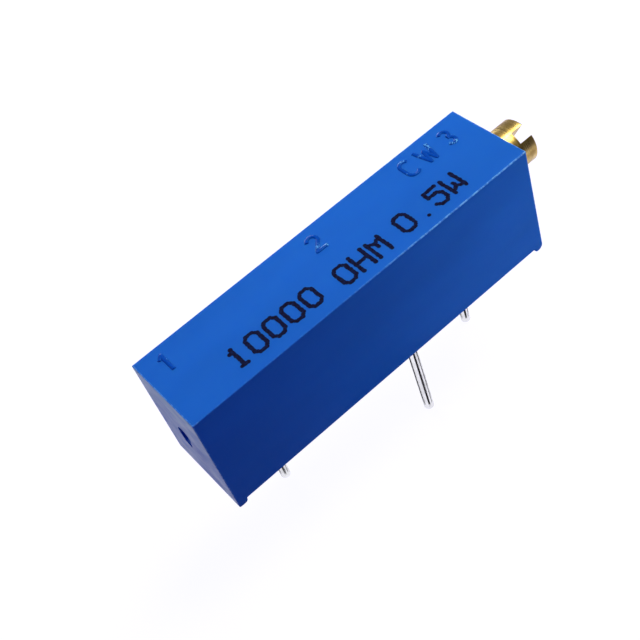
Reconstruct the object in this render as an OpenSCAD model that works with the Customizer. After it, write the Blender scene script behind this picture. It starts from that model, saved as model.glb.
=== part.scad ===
// Multi-turn trimmer potentiometer with a lead screw, for mounting through a circuit board.
// Millimetres. The origin is terminal 1 at the seating plane. +X runs along the body to the
// screw head, +Z points up away from the board, and terminals 1 and 3 stand in the rear row.

/* [Housing] */
// Length of the body, without the screw head
body_l = 19.05; // [17.5:0.05:22]
// Width of the body at its open rim
body_w = 4.83; // [4.3:0.01:6]
// Height of the body above the seating plane, with its feet
body_h = 6.35; // [6.1:0.05:8]
// How far each side leans in between the rim and the top
draft = 0.08; // [0.02:0.01:0.15]
// Thickness of the long side walls
side_wall = 0.6; // [0.45:0.01:0.75]
// Thickness of the roof over the carriage
roof_t = 0.7; // [0.4:0.01:0.8]
// Thickness of both end walls below the screw
end_wall = 0.75; // [0.5:0.01:0.9]
// Height of the feet that lift the rim off the board
foot_h = 0.25; // [0.15:0.01:0.4]
// Length of each foot along the body
foot_l = 0.5; // [0.35:0.01:0.9]
// Radius of each foot's outer edge
foot_r = 0.25; // [0.05:0.01:0.3]
// Radius of each foot's inner edge
foot_in_r = 0.1; // [0.02:0.01:0.1]
// Diameter of the sunk moulding gate in the end away from the head
gate_d = 0.8; // [0.4:0.05:1]
// Depth of the sunk moulding gate
gate_depth = 0.2; // [0.1:0.01:0.3]
// Distance of the moulding gate below the screw axis
gate_drop = 1.05; // [1:0.01:1.3]

/* [Terminals] */
// Distance from terminal 1 to the end of the body away from the head
far_margin = 3.5; // [3.2:0.01:4]
// Distance from terminal 3 to the screw end of the body
end_margin = 2.85; // [2.75:0.01:3.2]
// Spacing of terminals 2 and 3 along the body
pitch_23 = 5.08; // [4:0.01:7]
// Distance from each row of terminals to the side of the body
row_margin = 1.145; // [1.1:0.005:1.3]
// Diameter of each round pin
pin_d = 0.5; // [0.4:0.01:0.6]
// Diameter of the neck that passes through the ceramic plate
neck_d = 0.44; // [0.36:0.01:0.48]
// Length of each pin below the seating plane
pin_len = 5.8; // [3:0.1:8]
// Bevel at the tip of each pin
pin_bevel = 0.08; // [0.02:0.01:0.15]
// Diameter of the swaged collar that anchors each pin in the base seal
collar_d = 0.84; // [0.64:0.01:0.96]
// Height of that collar
collar_h = 0.55; // [0.2:0.01:0.65]
// How far each pin stands above the plate that it is soldered to
pin_top = 0.22; // [0.1:0.01:0.3]

/* [Adjusting screw] */
// Distance of the screw axis below the top of the body
screw_drop = 1.9; // [1.85:0.01:2]
// Diameter of the head
head_d = 2.28; // [2.1:0.01:2.4]
// How far the head stands out of the body
head_out = 1.68; // [1:0.01:3]
// Bevel around the face of the head
head_bevel = 0.07; // [0.02:0.01:0.12]
// Width of the driver slot
slot_w = 0.65; // [0.4:0.01:0.8]
// Depth of the driver slot
slot_depth = 0.75; // [0.4:0.01:0.9]
// Turn of the driver slot about the screw axis, in degrees from the seating plane
slot_turn = 122; // [0:1:180]
// Outer diameter of the lead thread
thread_d = 1.6; // [1.5:0.01:1.7]
// Depth of the lead thread
thread_depth = 0.22; // [0.1:0.01:0.25]
// Number of turns from one end of the track to the other
turns = 15; // [10:1:25]
// Diameter of the plain journal at the far end
journal_d = 1; // [0.8:0.01:1.2]
// Length of that journal
journal_l = 0.8; // [0.5:0.01:0.9]
// Length of the head's shoulder inside the body
shoulder_l = 0.65; // [0.5:0.01:0.7]
// Thickness of the rubber seal ring as squeezed in its groove
ring_t = 0.46; // [0.4:0.01:0.48]
// Play of the seal ring along its groove
ring_play = 0.06; // [0.02:0.01:0.1]
// Width of the two flanges beside the groove for the retainer
flange_w = 0.22; // [0.18:0.01:0.24]
// Depth of the groove for the retainer
clip_groove_depth = 0.49; // [0.4:0.01:0.55]
// Thickness of the retainer
clip_t = 0.24; // [0.2:0.01:0.26]
// Width of each leg of the retainer
clip_leg = 0.76; // [0.6:0.01:0.8]
// Distance from the top of the retainer's legs down from the top of the head
clip_short = 0.2; // [0.1:0.01:0.3]

/* [Element] */
// Thickness of the ceramic plate
plate_t = 0.635; // [0.5:0.005:0.7]
// Thickness of the base seal
seal_t = 0.85; // [0.7:0.01:0.9]
// How far the base seal lies inside the rim
seal_recess = 0.1; // [0:0.01:0.2]
// Thickness of the printed tracks and pads
film_t = 0.03; // [0.02:0.005:0.05]
// Width of each track
track_w = 0.6; // [0.5:0.01:0.7]
// Distance between the middles of the two tracks
track_gap = 0.95; // [0.85:0.01:1]
// Diameter of the round pad about each pin
pad_d = 0.96; // [0.9:0.01:1]
// Distance from each end terminal to where the wiper stops
end_rest = 0.35; // [0.2:0.01:0.5]
// How far each end pad reaches in past that place
end_overlap = 0.15; // [0.05:0.01:0.3]
// Diameter of the solder around each pin
solder_d = 0.86; // [0.8:0.01:0.9]
// Height of the solder above its pad
solder_h = 0.16; // [0.05:0.01:0.18]

/* [Carriage] */
// Length of the carriage
carriage_l = 2; // [1.8:0.05:2.3]
// Distance from the ceramic plate up to the underside of the carriage
carriage_lift = 0.615; // [0.55:0.005:0.7]
// Depth of the relief in each side of the carriage
relief = 0.15; // [0.05:0.01:0.25]
// Height and length of the guide pads left around that relief
guide_pad = 0.45; // [0.3:0.01:0.6]
// Thickness of the wiper's sheet metal
sheet_t = 0.08; // [0.06:0.01:0.1]
// Width of each wiper finger
finger_w = 0.14; // [0.1:0.01:0.15]
// Spacing of the wiper fingers on each track
finger_pitch = 0.2; // [0.18:0.01:0.22]
// Diameter of the pegs that hold the wiper
peg_d = 0.32; // [0.25:0.01:0.36]
// How far the pegs stand below the wiper's plate
peg_stand = 0.06; // [0.02:0.01:0.1]
// Distance from the middle of the carriage back to the pegs
peg_back = 0.45; // [0.4:0.01:0.5]
// Distance from the middle of the carriage to where the fingers touch
wiper_reach = 0.6; // [0.45:0.01:0.8]

/* [Clearances] */
// Radial clearance of the screw in its two bearings
bearing_gap = 0.04; // [0.02:0.01:0.06]
// Radial clearance of the thread in the carriage
thread_gap = 0.04; // [0.02:0.01:0.06]
// Clearance of the carriage between the walls and under the roof
slide_gap = 0.08; // [0.05:0.01:0.12]
// Clearance around pieces that are cast or pushed into place
seat_gap = 0.02; // [0.01:0.005:0.03]
// Clearance between the wiper and the films
wiper_gap = 0.02; // [0.01:0.005:0.03]

/* [Moulded marks] */
// Height of the characters on the top face
mark_size = 1.08; // [0.8:0.01:1.2]
// Width of their strokes
mark_stroke = 0.16; // [0.08:0.01:0.16]
// How far they stand proud
mark_rise = 0.05; // [0.02:0.01:0.08]
// Distance from the rear edge of the body to the middle of the marks
mark_margin = 1.195; // [1:0.005:1.3]
// Distance from the far end of the body to the mark of terminal 1
mark_1_in = 1.25; // [1:0.01:1.6]
// Distance from the screw end of the body back to the mark of terminal 3
mark_3_in = 1.5; // [1.2:0.01:1.6]
// Distance from the mark of terminal 3 back to the W
mark_w_in = 1.28; // [1.1:0.01:1.4]
// Distance from the W back to the C
mark_c_in = 1.1; // [1:0.01:1.3]

/* [Hidden] */
$fn = 64;

// Small overlap of a cut past the face that it starts from, and a long one outside the body
eps = 0.01;
past = 1;

// The body's ends and centre line; terminals 1 and 3 stand at y = 0
far_end = -far_margin;
screw_end = far_end + body_l;
row_pitch = body_w - 2 * row_margin;
mid_y = -row_pitch / 2;

// Places of the terminals
pin_3_x = screw_end - end_margin;
pin_at = [[0, 0], [pin_3_x - pitch_23, -row_pitch], [pin_3_x, 0]];

// Levels above the seating plane
rim_z = foot_h;
seal_z = rim_z + seal_recess;
plate_z = seal_z + seal_t;
film_z = plate_z + plate_t;
wiper_z = film_z + film_t + wiper_gap;
screw_z = body_h - screw_drop;
ceiling_z = body_h - roof_t;
carriage_z = film_z + carriage_lift;
carriage_top = ceiling_z - slide_gap;

// The cavity and the two bosses that hold the screw
cavity_w = body_w - 2 * side_wall;
bore_d = head_d + 2 * bearing_gap;
ring_groove_w = ring_t + ring_play;
clip_groove_w = clip_t + 2 * seat_gap;
boss_lip = 0.12;
screw_boss = shoulder_l + ring_groove_w + 2 * flange_w + clip_groove_w + boss_lip;
far_boss = end_wall + journal_l;

// The screw's grooves; the ring touches the bottom of its own and clears the bore
ring_groove_d = bore_d - 2 * ring_t - 2 * seat_gap;
clip_groove_d = head_d - 2 * clip_groove_depth;
clip_gap = clip_groove_d + 2 * bearing_gap;
clip_w = clip_gap + 2 * clip_leg;
clip_top = screw_z + head_d / 2 - clip_short;

// Places along the screw
groove_x = screw_end - shoulder_l;
flange_x = groove_x - ring_groove_w;
clip_x = flange_x - flange_w;
shank_x = clip_x - clip_groove_w - flange_w;
journal_x = far_end + far_boss + bearing_gap;

// The wiper travels between the end pads in the stated number of turns
travel = pin_3_x - 2 * end_rest;
thread_pitch = travel / turns;
thread_core_d = thread_d - 2 * thread_depth;
strip_in = end_rest + end_overlap;

// The fingers touch the track at the middle of the travel, beyond the carriage's middle
wiper_x = pin_3_x / 2;
carriage_x = wiper_x - wiper_reach;
carriage_w = cavity_w - 2 * slide_gap;

// Pegs that hold the wiper under the carriage, and the plate that they go through
peg_x = carriage_x - peg_back;
peg_y = track_gap / 2;
wiper_rim = 0.2;
wiper_low_x = peg_x - peg_d / 2 - wiper_rim;
wiper_high_x = peg_x + peg_d / 2 + wiper_rim;

blue = [0.05, 0.27, 0.72];
resin = [0.10, 0.16, 0.34];
ceramic = [0.93, 0.92, 0.88];
cermet = [0.13, 0.12, 0.13];
film_metal = [0.72, 0.72, 0.70];
tin = [0.78, 0.78, 0.79];
brass = [0.80, 0.62, 0.26];
steel = [0.62, 0.62, 0.64];
rubber = [0.07, 0.07, 0.07];
nylon = [0.90, 0.88, 0.82];
spring_metal = [0.83, 0.72, 0.45];

// A box given by its two opposite corners
module block(low, high) {
    translate(low)
        cube(high - low);
}

// A solid of revolution about the screw's axis: its profile is a list of [x, radius]
module turned(profile) {
    translate([0, mid_y, screw_z])
        rotate([0, 90, 0])
            rotate_extrude()
                polygon([for (p = profile) [p[1], p[0]]]);
}

// A round bore along the screw's axis
module screw_bore(from_x, to_x, d) {
    translate([from_x, mid_y, screw_z])
        rotate([0, 90, 0])
            cylinder(d = d, h = to_x - from_x);
}

// The outside of the body: two drafted outlines crossed with each other
module drafted_block() {
    wall_h = body_h - rim_z;
    intersection() {
        translate([0, mid_y + body_w, 0])
            rotate([90, 0, 0])
                linear_extrude(2 * body_w)
                    translate([far_end, rim_z])
                        polygon([[0, 0], [body_l, 0], [body_l - draft, wall_h], [draft, wall_h]]);
        translate([far_end - past, mid_y, rim_z])
            rotate([90, 0, 90])
                linear_extrude(body_l + 2 * past)
                    polygon([
                        [-body_w / 2, 0], [body_w / 2, 0],
                        [body_w / 2 - draft, wall_h], [draft - body_w / 2, wall_h]
                    ]);
    }
}

// One foot across an end of the body; turn is 1 at the screw end and -1 at the far end
module foot(end_x, turn) {
    r = min(foot_r, foot_h);
    in_r = min(foot_in_r, (foot_l - r) / 2);
    inner_x = end_x - turn * foot_l;
    outer_axis = end_x - turn * r;
    inner_axis = inner_x + turn * in_r;
    translate([0, mid_y + body_w / 2, 0])
        rotate([90, 0, 0])
            linear_extrude(body_w)
                union() {
                    translate([min(inner_axis, outer_axis), 0])
                        square([foot_l - r - in_r, foot_h + eps]);
                    translate([min(end_x, outer_axis), r])
                        square([r, foot_h + eps - r]);
                    translate([min(inner_x, inner_axis), in_r])
                        square([in_r, foot_h + eps - in_r]);
                    translate([outer_axis, r])
                        circle(r);
                    translate([inner_axis, in_r])
                        circle(in_r);
                }
}

// A straight stroke between two points
module bar(a, b) {
    along = (b - a) / norm(b - a);
    side = [-along[1], along[0]] * mark_stroke / 2;
    polygon([a - side, b - side, b + side, a + side]);
}

// A bent stroke about a centre, drawn between two angles
module bow(centre, r, from, to) {
    steps = 10;
    angles = [for (i = [0:steps]) from + (to - from) * i / steps];
    inner = r - mark_stroke / 2;
    outer = r + mark_stroke / 2;
    polygon(concat(
        [for (a = angles) centre + inner * [cos(a), sin(a)]],
        [for (i = [steps:-1:0]) centre + outer * [cos(angles[i]), sin(angles[i])]]
    ));
}

// The five moulded characters, each centred on its place
module mark_one() {
    top = mark_size / 2;
    flag = mark_size * 0.2;
    bar([0, -top], [0, top]);
    bar([mark_stroke / 6, top - mark_stroke / 3], [-flag, top - mark_stroke / 3 - flag]);
}

module mark_two() {
    top = mark_size / 2;
    r = mark_size * 0.25;
    centre = [0, top - r - mark_stroke / 2];
    heel = [-r, mark_stroke / 2 - top];
    bow(centre, r, 165, -35);
    bar(centre + r * [cos(-32), sin(-32)], heel);
    bar(heel - [mark_stroke / 2, 0], heel + [2 * r + mark_stroke / 2, 0]);
}

module mark_three() {
    top = mark_size / 2 - mark_stroke / 2;
    upper = mark_size * 0.21;
    lower = top - upper;
    bow([0, top - upper], upper, 150, -92);
    bow([0, lower - top], lower, 92, -150);
}

module mark_c() {
    top = mark_size / 2 - mark_stroke / 2;
    r = mark_size * 0.27;
    bow([0, top - r], r, 35, 180);
    bow([0, r - top], r, 180, 325);
    bar([-r, top - r + eps], [-r, r - top - eps]);
}

module mark_w() {
    top = mark_size / 2;
    half = mark_size * 0.36;
    inner = half * 0.44;
    bar([-half, top], [-inner, -top]);
    bar([-inner, -top], [0, top * 0.5]);
    bar([0, top * 0.5], [inner, -top]);
    bar([inner, -top], [half, top]);
}

// Raises a character at a place along the body, rooted in the roof
module raised_mark(x) {
    root = roof_t / 5;
    translate([x, mid_y + body_w / 2 - mark_margin, body_h - root])
        linear_extrude(root + mark_rise)
            children();
}

// The numbers name the terminals, and C and W say which way the wiper goes when turned
module moulded_marks() {
    three_x = screw_end - mark_3_in;
    raised_mark(far_end + mark_1_in) mark_one();
    raised_mark((far_end + screw_end) / 2) mark_two();
    raised_mark(three_x - mark_w_in - mark_c_in) mark_c();
    raised_mark(three_x - mark_w_in) mark_w();
    raised_mark(three_x) mark_three();
}

// The slot in the screw boss that the retainer is pushed into from below
module clip_slot() {
    block([clip_x - clip_groove_w, mid_y - clip_w / 2 - seat_gap, film_z - eps],
          [clip_x, mid_y + clip_w / 2 + seat_gap, clip_top + seat_gap]);
}

module housing() {
    color(blue)
        difference() {
            union() {
                drafted_block();
                foot(screw_end, 1);
                foot(far_end, -1);
                moulded_marks();
            }
            block([far_end + end_wall, mid_y - cavity_w / 2, -past],
                  [screw_end - end_wall, mid_y + cavity_w / 2, film_z]);
            block([far_end + far_boss, mid_y - cavity_w / 2, film_z - eps],
                  [screw_end - screw_boss, mid_y + cavity_w / 2, ceiling_z]);
            screw_bore(screw_end - screw_boss - eps, screw_end + past, bore_d);
            screw_bore(far_end + end_wall - seat_gap, far_end + far_boss + eps,
                       journal_d + 2 * bearing_gap);
            clip_slot();
            translate([far_end - past, mid_y, screw_z - gate_drop])
                rotate([0, 90, 0])
                    cylinder(d = gate_d, h = past + draft / 2 + gate_depth);
        }
}

// Resin that closes the open side of the body around the pins
module base_seal() {
    color(resin)
        difference() {
            block([far_end + end_wall, mid_y - cavity_w / 2, seal_z],
                  [screw_end - end_wall, mid_y + cavity_w / 2, plate_z]);
            for (p = pin_at) {
                translate([p[0], p[1], seal_z - eps])
                    cylinder(d = collar_d, h = collar_h + eps);
                translate([p[0], p[1], seal_z])
                    cylinder(d = neck_d, h = seal_t + eps);
            }
        }
}

// Holes for the pins' necks through the plate and the films on it
module pin_holes() {
    for (p = pin_at)
        translate([p[0], p[1], plate_z - eps])
            cylinder(d = neck_d + 2 * seat_gap, h = plate_t + past);
}

// Ceramic plate: it lies against the two bosses, on the resin
module element_substrate() {
    color(ceramic)
        difference() {
            block([far_end + end_wall + seat_gap, mid_y - cavity_w / 2 + seat_gap, plate_z],
                  [screw_end - end_wall - seat_gap, mid_y + cavity_w / 2 - seat_gap, film_z]);
            pin_holes();
        }
}

module resistive_track() {
    color(cermet)
        block([pin_at[0][0] + strip_in, mid_y + (track_gap - track_w) / 2, film_z],
              [pin_at[2][0] - strip_in, mid_y + (track_gap + track_w) / 2, film_z + film_t]);
}

module collector_track() {
    color(film_metal)
        difference() {
            union() {
                block([pin_at[0][0] - strip_in, mid_y - (track_gap + track_w) / 2, film_z],
                      [pin_at[2][0] + strip_in, mid_y - (track_gap - track_w) / 2, film_z + film_t]);
                translate([pin_at[1][0], pin_at[1][1], film_z])
                    cylinder(d = pad_d, h = film_t);
                block([pin_at[1][0] - pad_d / 2, pin_at[1][1], film_z],
                      [pin_at[1][0] + pad_d / 2, mid_y - track_gap / 2, film_z + film_t]);
            }
            pin_holes();
        }
}

// Silver pad between an end pin and the track; inwards is 1 or -1 along the body
module end_pad(pin, inwards) {
    x_in = pin[0] + inwards * strip_in;
    x_out = pin[0] - inwards * pad_d / 2;
    color(film_metal)
        difference() {
            union() {
                translate([pin[0], pin[1], film_z])
                    cylinder(d = pad_d, h = film_t);
                block([min(x_in, x_out), mid_y + (track_gap - track_w) / 2, film_z],
                      [max(x_in, x_out), pin[1], film_z + film_t]);
            }
            pin_holes();
        }
}

module end_pad_1() {
    end_pad(pin_at[0], 1);
}

module end_pad_3() {
    end_pad(pin_at[2], -1);
}

// Round pin: a bevelled tip, the free length, the anchoring collar and the soldered end
module terminal_pin(p) {
    color(tin)
        translate([p[0], p[1], 0])
            rotate_extrude()
                polygon([
                    [0, -pin_len],
                    [pin_d / 2 - pin_bevel, -pin_len],
                    [pin_d / 2, pin_bevel - pin_len],
                    [pin_d / 2, seal_z],
                    [collar_d / 2, seal_z],
                    [collar_d / 2, seal_z + collar_h],
                    [neck_d / 2, seal_z + collar_h],
                    [neck_d / 2, film_z + pin_top],
                    [0, film_z + pin_top]
                ]);
}

module terminal_pin_1() {
    terminal_pin(pin_at[0]);
}

module terminal_pin_2() {
    terminal_pin(pin_at[1]);
}

module terminal_pin_3() {
    terminal_pin(pin_at[2]);
}

// Solder around a pin, drawn up against it
module solder_joint(p) {
    low = film_z + film_t;
    waist = (solder_d - neck_d) / 6;
    color(tin)
        translate([p[0], p[1], low])
            rotate_extrude()
                polygon([
                    [neck_d / 2, 0],
                    [solder_d / 2, 0],
                    [neck_d / 2 + waist, solder_h / 2],
                    [neck_d / 2 + seat_gap, solder_h],
                    [neck_d / 2, solder_h]
                ]);
}

module solder_joint_1() {
    solder_joint(pin_at[0]);
}

module solder_joint_2() {
    solder_joint(pin_at[1]);
}

module solder_joint_3() {
    solder_joint(pin_at[2]);
}

// U-shaped clip: its legs straddle the screw's groove and its bridge rests on the plate
module screw_retainer() {
    color(steel)
        translate([clip_x - seat_gap - clip_t, mid_y, 0])
            rotate([90, 0, 90])
                linear_extrude(clip_t)
                    difference() {
                        translate([-clip_w / 2, film_z])
                            square([clip_w, clip_top - film_z]);
                        translate([0, screw_z])
                            circle(d = clip_gap);
                        translate([-clip_gap / 2, screw_z])
                            square([clip_gap, head_d]);
                    }
}

// Turned in one piece. The thread runs out in a relief one pitch wide at each of its ends
module adjusting_screw() {
    tip_x = screw_end + head_out;
    end_x = journal_x - journal_l;
    color(brass)
        difference() {
            turned([
                [tip_x, 0],
                [tip_x, head_d / 2 - head_bevel],
                [tip_x - head_bevel, head_d / 2],
                [groove_x, head_d / 2],
                [groove_x, ring_groove_d / 2],
                [flange_x, ring_groove_d / 2],
                [flange_x, head_d / 2],
                [clip_x, head_d / 2],
                [clip_x, clip_groove_d / 2],
                [clip_x - clip_groove_w, clip_groove_d / 2],
                [clip_x - clip_groove_w, head_d / 2],
                [shank_x, head_d / 2],
                [shank_x, thread_core_d / 2],
                [shank_x - thread_pitch, thread_core_d / 2],
                [shank_x - thread_pitch, thread_d / 2],
                [journal_x + thread_pitch, thread_d / 2],
                [journal_x + thread_pitch, thread_core_d / 2],
                [journal_x, thread_core_d / 2],
                [journal_x, journal_d / 2],
                [end_x, journal_d / 2],
                [end_x, 0]
            ]);
            translate([tip_x - slot_depth, mid_y, screw_z])
                rotate([slot_turn, 0, 0])
                    translate([0, -head_d, -slot_w / 2])
                        cube([slot_depth + past, 2 * head_d, slot_w]);
        }
}

// Rubber ring, squeezed between the bottom of its groove and the bore
module shaft_seal_ring() {
    color(rubber)
        translate([(groove_x + flange_x) / 2, mid_y, screw_z])
            rotate([0, 90, 0])
                rotate_extrude()
                    translate([(ring_groove_d + ring_t) / 2, 0])
                        circle(d = ring_t);
}

// Moulded nut block, guided by the walls and the roof
module carriage() {
    low_x = carriage_x - carriage_l / 2;
    high_x = carriage_x + carriage_l / 2;
    color(nylon)
        difference() {
            union() {
                block([low_x, mid_y - carriage_w / 2, carriage_z],
                      [high_x, mid_y + carriage_w / 2, carriage_top]);
                for (s = [-1, 1])
                    translate([peg_x, mid_y + s * peg_y, carriage_z - sheet_t - peg_stand])
                        cylinder(d = peg_d, h = sheet_t + 2 * peg_stand);
            }
            screw_bore(low_x - past, high_x + past, thread_d + 2 * thread_gap);
            for (s = [-1, 1])
                translate([0, mid_y + s * carriage_w / 2, 0])
                    block([low_x + guide_pad, -relief, carriage_z + guide_pad],
                          [high_x - guide_pad, relief, carriage_top - guide_pad]);
        }
}

// Outline of a wiper finger seen from the side: it slopes down, rounds its tip and turns up
module finger_outline() {
    steps = 8;
    turn_up = 30;
    knuckle_r = 1.5 * sheet_t;
    root = [wiper_high_x - sheet_t, carriage_z - sheet_t];
    knuckle = [wiper_x, wiper_z + knuckle_r];
    drop = root - knuckle;
    lean = atan2(drop[1], drop[0]) + acos((knuckle_r - sheet_t / 2) / norm(drop));
    arc = [for (i = [0:steps]) lean + (360 - lean + turn_up) * i / steps];
    polygon(concat(
        [root],
        [for (a = arc) knuckle + knuckle_r * [cos(a), sin(a)]],
        [for (i = [steps:-1:0]) knuckle + (knuckle_r - sheet_t) * [cos(arc[i]), sin(arc[i])]],
        [root + [0, sheet_t]]
    ));
}

// Stamped contact: a plate under the carriage and three fingers on each track
module wiper_spring() {
    plate_half = track_gap / 2 + finger_pitch + finger_w / 2;
    color(spring_metal)
        difference() {
            union() {
                block([wiper_low_x, mid_y - plate_half, carriage_z - sheet_t],
                      [wiper_high_x, mid_y + plate_half, carriage_z]);
                for (s = [-1, 1], i = [-1:1])
                    translate([0, mid_y + s * track_gap / 2 + i * finger_pitch + finger_w / 2, 0])
                        rotate([90, 0, 0])
                            linear_extrude(finger_w)
                                finger_outline();
            }
            for (s = [-1, 1])
                translate([peg_x, mid_y + s * peg_y, carriage_z - sheet_t - eps])
                    cylinder(d = peg_d + 2 * seat_gap, h = sheet_t + 2 * eps);
        }
}

housing();
base_seal();
element_substrate();
resistive_track();
collector_track();
end_pad_1();
end_pad_3();
terminal_pin_1();
terminal_pin_2();
terminal_pin_3();
solder_joint_1();
solder_joint_2();
solder_joint_3();
screw_retainer();
adjusting_screw();
shaft_seal_ring();
carriage();
wiper_spring();
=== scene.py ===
"""The looks of a multi-turn trimmer potentiometer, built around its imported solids.

Lengths are metres in the part's own frame: terminal 1 stands at the origin, +X runs to the
screw head and +Z points away from the board. Sizes are written in millimetres and go through MM.
"""

import math

import bmesh
import bpy
from bpy.props import FloatProperty, FloatVectorProperty, IntProperty, PointerProperty, StringProperty
from mathutils import Matrix, Vector, noise


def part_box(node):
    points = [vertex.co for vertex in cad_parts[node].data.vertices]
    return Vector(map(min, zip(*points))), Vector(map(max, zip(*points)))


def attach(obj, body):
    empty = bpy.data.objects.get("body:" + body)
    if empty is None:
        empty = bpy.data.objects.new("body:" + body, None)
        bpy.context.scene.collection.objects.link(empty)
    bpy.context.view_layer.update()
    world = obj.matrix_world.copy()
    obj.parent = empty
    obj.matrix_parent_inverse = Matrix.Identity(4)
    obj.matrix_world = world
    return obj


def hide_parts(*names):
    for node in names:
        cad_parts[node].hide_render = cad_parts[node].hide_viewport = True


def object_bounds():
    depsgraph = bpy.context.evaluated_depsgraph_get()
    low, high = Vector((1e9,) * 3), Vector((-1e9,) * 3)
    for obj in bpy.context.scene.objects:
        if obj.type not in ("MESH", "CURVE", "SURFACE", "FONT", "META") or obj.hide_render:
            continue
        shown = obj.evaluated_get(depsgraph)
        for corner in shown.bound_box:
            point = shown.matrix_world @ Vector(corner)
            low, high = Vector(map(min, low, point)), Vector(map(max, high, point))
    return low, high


bl_info = {
    "name": "Trimmer potentiometer",
    "version": (1, 0, 0),
    "blender": (4, 5, 0),
    "location": "View3D > Sidebar > Trimmer",
    "description": "Builds a multi-turn trimmer potentiometer around its solids",
    "category": "Object",
}

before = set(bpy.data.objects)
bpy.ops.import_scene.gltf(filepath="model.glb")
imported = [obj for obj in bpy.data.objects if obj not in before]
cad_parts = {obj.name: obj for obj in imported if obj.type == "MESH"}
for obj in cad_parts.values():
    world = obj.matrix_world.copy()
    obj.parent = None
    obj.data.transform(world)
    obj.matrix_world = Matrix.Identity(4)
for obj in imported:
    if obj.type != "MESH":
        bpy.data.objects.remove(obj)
CAD_BOX = [list(corner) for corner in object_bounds()]

MM = 0.001
JOIN = 1e-8

BODY_LOW, BODY_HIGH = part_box("housing")
SCREW_LOW, SCREW_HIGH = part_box("adjusting_screw")
SEAL_LOW, SEAL_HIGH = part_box("base_seal")
PLATE_LOW, PLATE_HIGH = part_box("element_substrate")
CARRIAGE_LOW, CARRIAGE_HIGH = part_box("carriage")
WIPER_LOW, WIPER_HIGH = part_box("wiper_spring")
CLIP_LOW, CLIP_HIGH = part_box("screw_retainer")
RING_LOW, RING_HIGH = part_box("shaft_seal_ring")

MID_Y = (BODY_LOW[1] + BODY_HIGH[1]) / 2
AXIS_Z = (SCREW_LOW[2] + SCREW_HIGH[2]) / 2
HEAD_R = (SCREW_HIGH[2] - SCREW_LOW[2]) / 2
PLATE_TOP = PLATE_HIGH[2]
PINS = ("terminal_pin_1", "terminal_pin_2", "terminal_pin_3")


def length(label, about, millimetres):
    """A length property, written in millimetres and kept in metres."""
    return FloatProperty(
        name=label, description=about, default=millimetres * MM, min=0.0, unit="LENGTH", precision=6
    )


def colour(label, about, shade):
    """A colour property, in linear light."""
    return FloatVectorProperty(
        name=label, description=about, default=shade, size=3, min=0.0, max=1.0, subtype="COLOR"
    )


class HousingSettings(bpy.types.PropertyGroup):
    rise: length("Mark rise", "How far the moulded marks stand proud of the top", 0.05)
    draft: length("Draft", "How far each side leans in between the rim and the top", 0.08)
    edge: length("Edge radius", "Rounding of the outer edges", 0.07)
    side_wall: length("Side wall", "Thickness of the long side walls", 0.6)
    end_wall: length("End wall", "Thickness of both end walls below the screw", 0.75)
    roof: length("Roof", "Thickness of the roof over the carriage", 0.7)
    far_boss: length("Far boss", "Depth of the boss that holds the journal", 1.55)
    screw_boss: length("Screw boss", "Depth of the boss that holds the head", 2.01)
    foot_height: length("Foot height", "Height of the feet below the rim", 0.25)
    foot_length: length("Foot length", "Length of each foot along the body", 0.5)
    foot_far: length("Far foot radius", "Radius of the outer edge of the foot at the far end", 0.09)
    foot_screw: length("Screw foot radius", "Radius of the outer edge of the foot at the screw end", 0.3)
    foot_inner: length("Foot inner radius", "Radius of each foot's inner edge", 0.18)
    bearing_gap: length("Bearing gap", "Radial clearance of the screw in its bearings", 0.04)
    seat_gap: length("Seat gap", "Clearance around pieces that are pushed into place", 0.02)
    gate_width: length("Gate width", "Diameter of the recess about the moulding gate", 0.8)
    gate_depth: length("Gate depth", "Depth of that recess", 0.2)
    gate_drop: length("Gate drop", "Distance of the gate below the screw axis", 1.05)
    scar: length("Gate scar", "Length of the dent that was left when the gate was broken off", 1.5)


class MarkSettings(bpy.types.PropertyGroup):
    size: length("Mark height", "Height of the moulded characters", 1.08)
    stroke: length("Mark stroke", "Width of their strokes", 0.19)
    margin: length("Mark margin", "Distance from the rear edge to the middle of the marks", 1.195)


class PrintSettings(bpy.types.PropertyGroup):
    words: StringProperty(
        name="Rating", description="The three groups that are printed on the top", default="10000 OHM 0.5W"
    )
    dot: length("Dot", "Diameter of the ink dots that the characters are made of", 0.205)
    column: length("Column pitch", "Distance between the columns of dots", 0.163)
    row: length("Row pitch", "Distance between the rows of dots", 0.182)
    film: length("Ink thickness", "How far the ink stands proud of the plastic", 0.006)
    wander: length("Wander", "How far a dot may land beside its place", 0.014)


class ScrewSettings(bpy.types.PropertyGroup):
    bevel: length("Head bevel", "Bevel around the face of the head", 0.07)
    slot_width: length("Slot width", "Width of the driver slot", 0.65)
    slot_depth: length("Slot depth", "Depth of the driver slot", 0.75)
    slot_turn: FloatProperty(
        name="Slot turn", description="Turn of the slot about the axis", default=math.radians(122), subtype="ANGLE"
    )
    shoulder: length("Shoulder", "Length of the head inside the body", 0.65)
    ring_groove: length("Ring groove", "Bottom radius of the groove for the seal ring", 0.7)
    ring_width: length("Ring groove width", "Width of the groove for the seal ring", 0.52)
    flange: length("Flange", "Width of the flanges beside the retainer", 0.22)
    clip_groove: length("Clip groove", "Bottom radius of the groove for the retainer", 0.65)
    clip_width: length("Clip groove width", "Width of the groove for the retainer", 0.28)
    thread: length("Thread radius", "Outer radius of the lead thread", 0.8)
    core: length("Core radius", "Radius at the bottom of the lead thread", 0.58)
    pitch: length("Thread pitch", "Travel of the carriage in one turn", 0.8)
    journal: length("Journal radius", "Radius of the plain journal at the far end", 0.5)
    journal_length: length("Journal length", "Length of that journal", 0.8)


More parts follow.
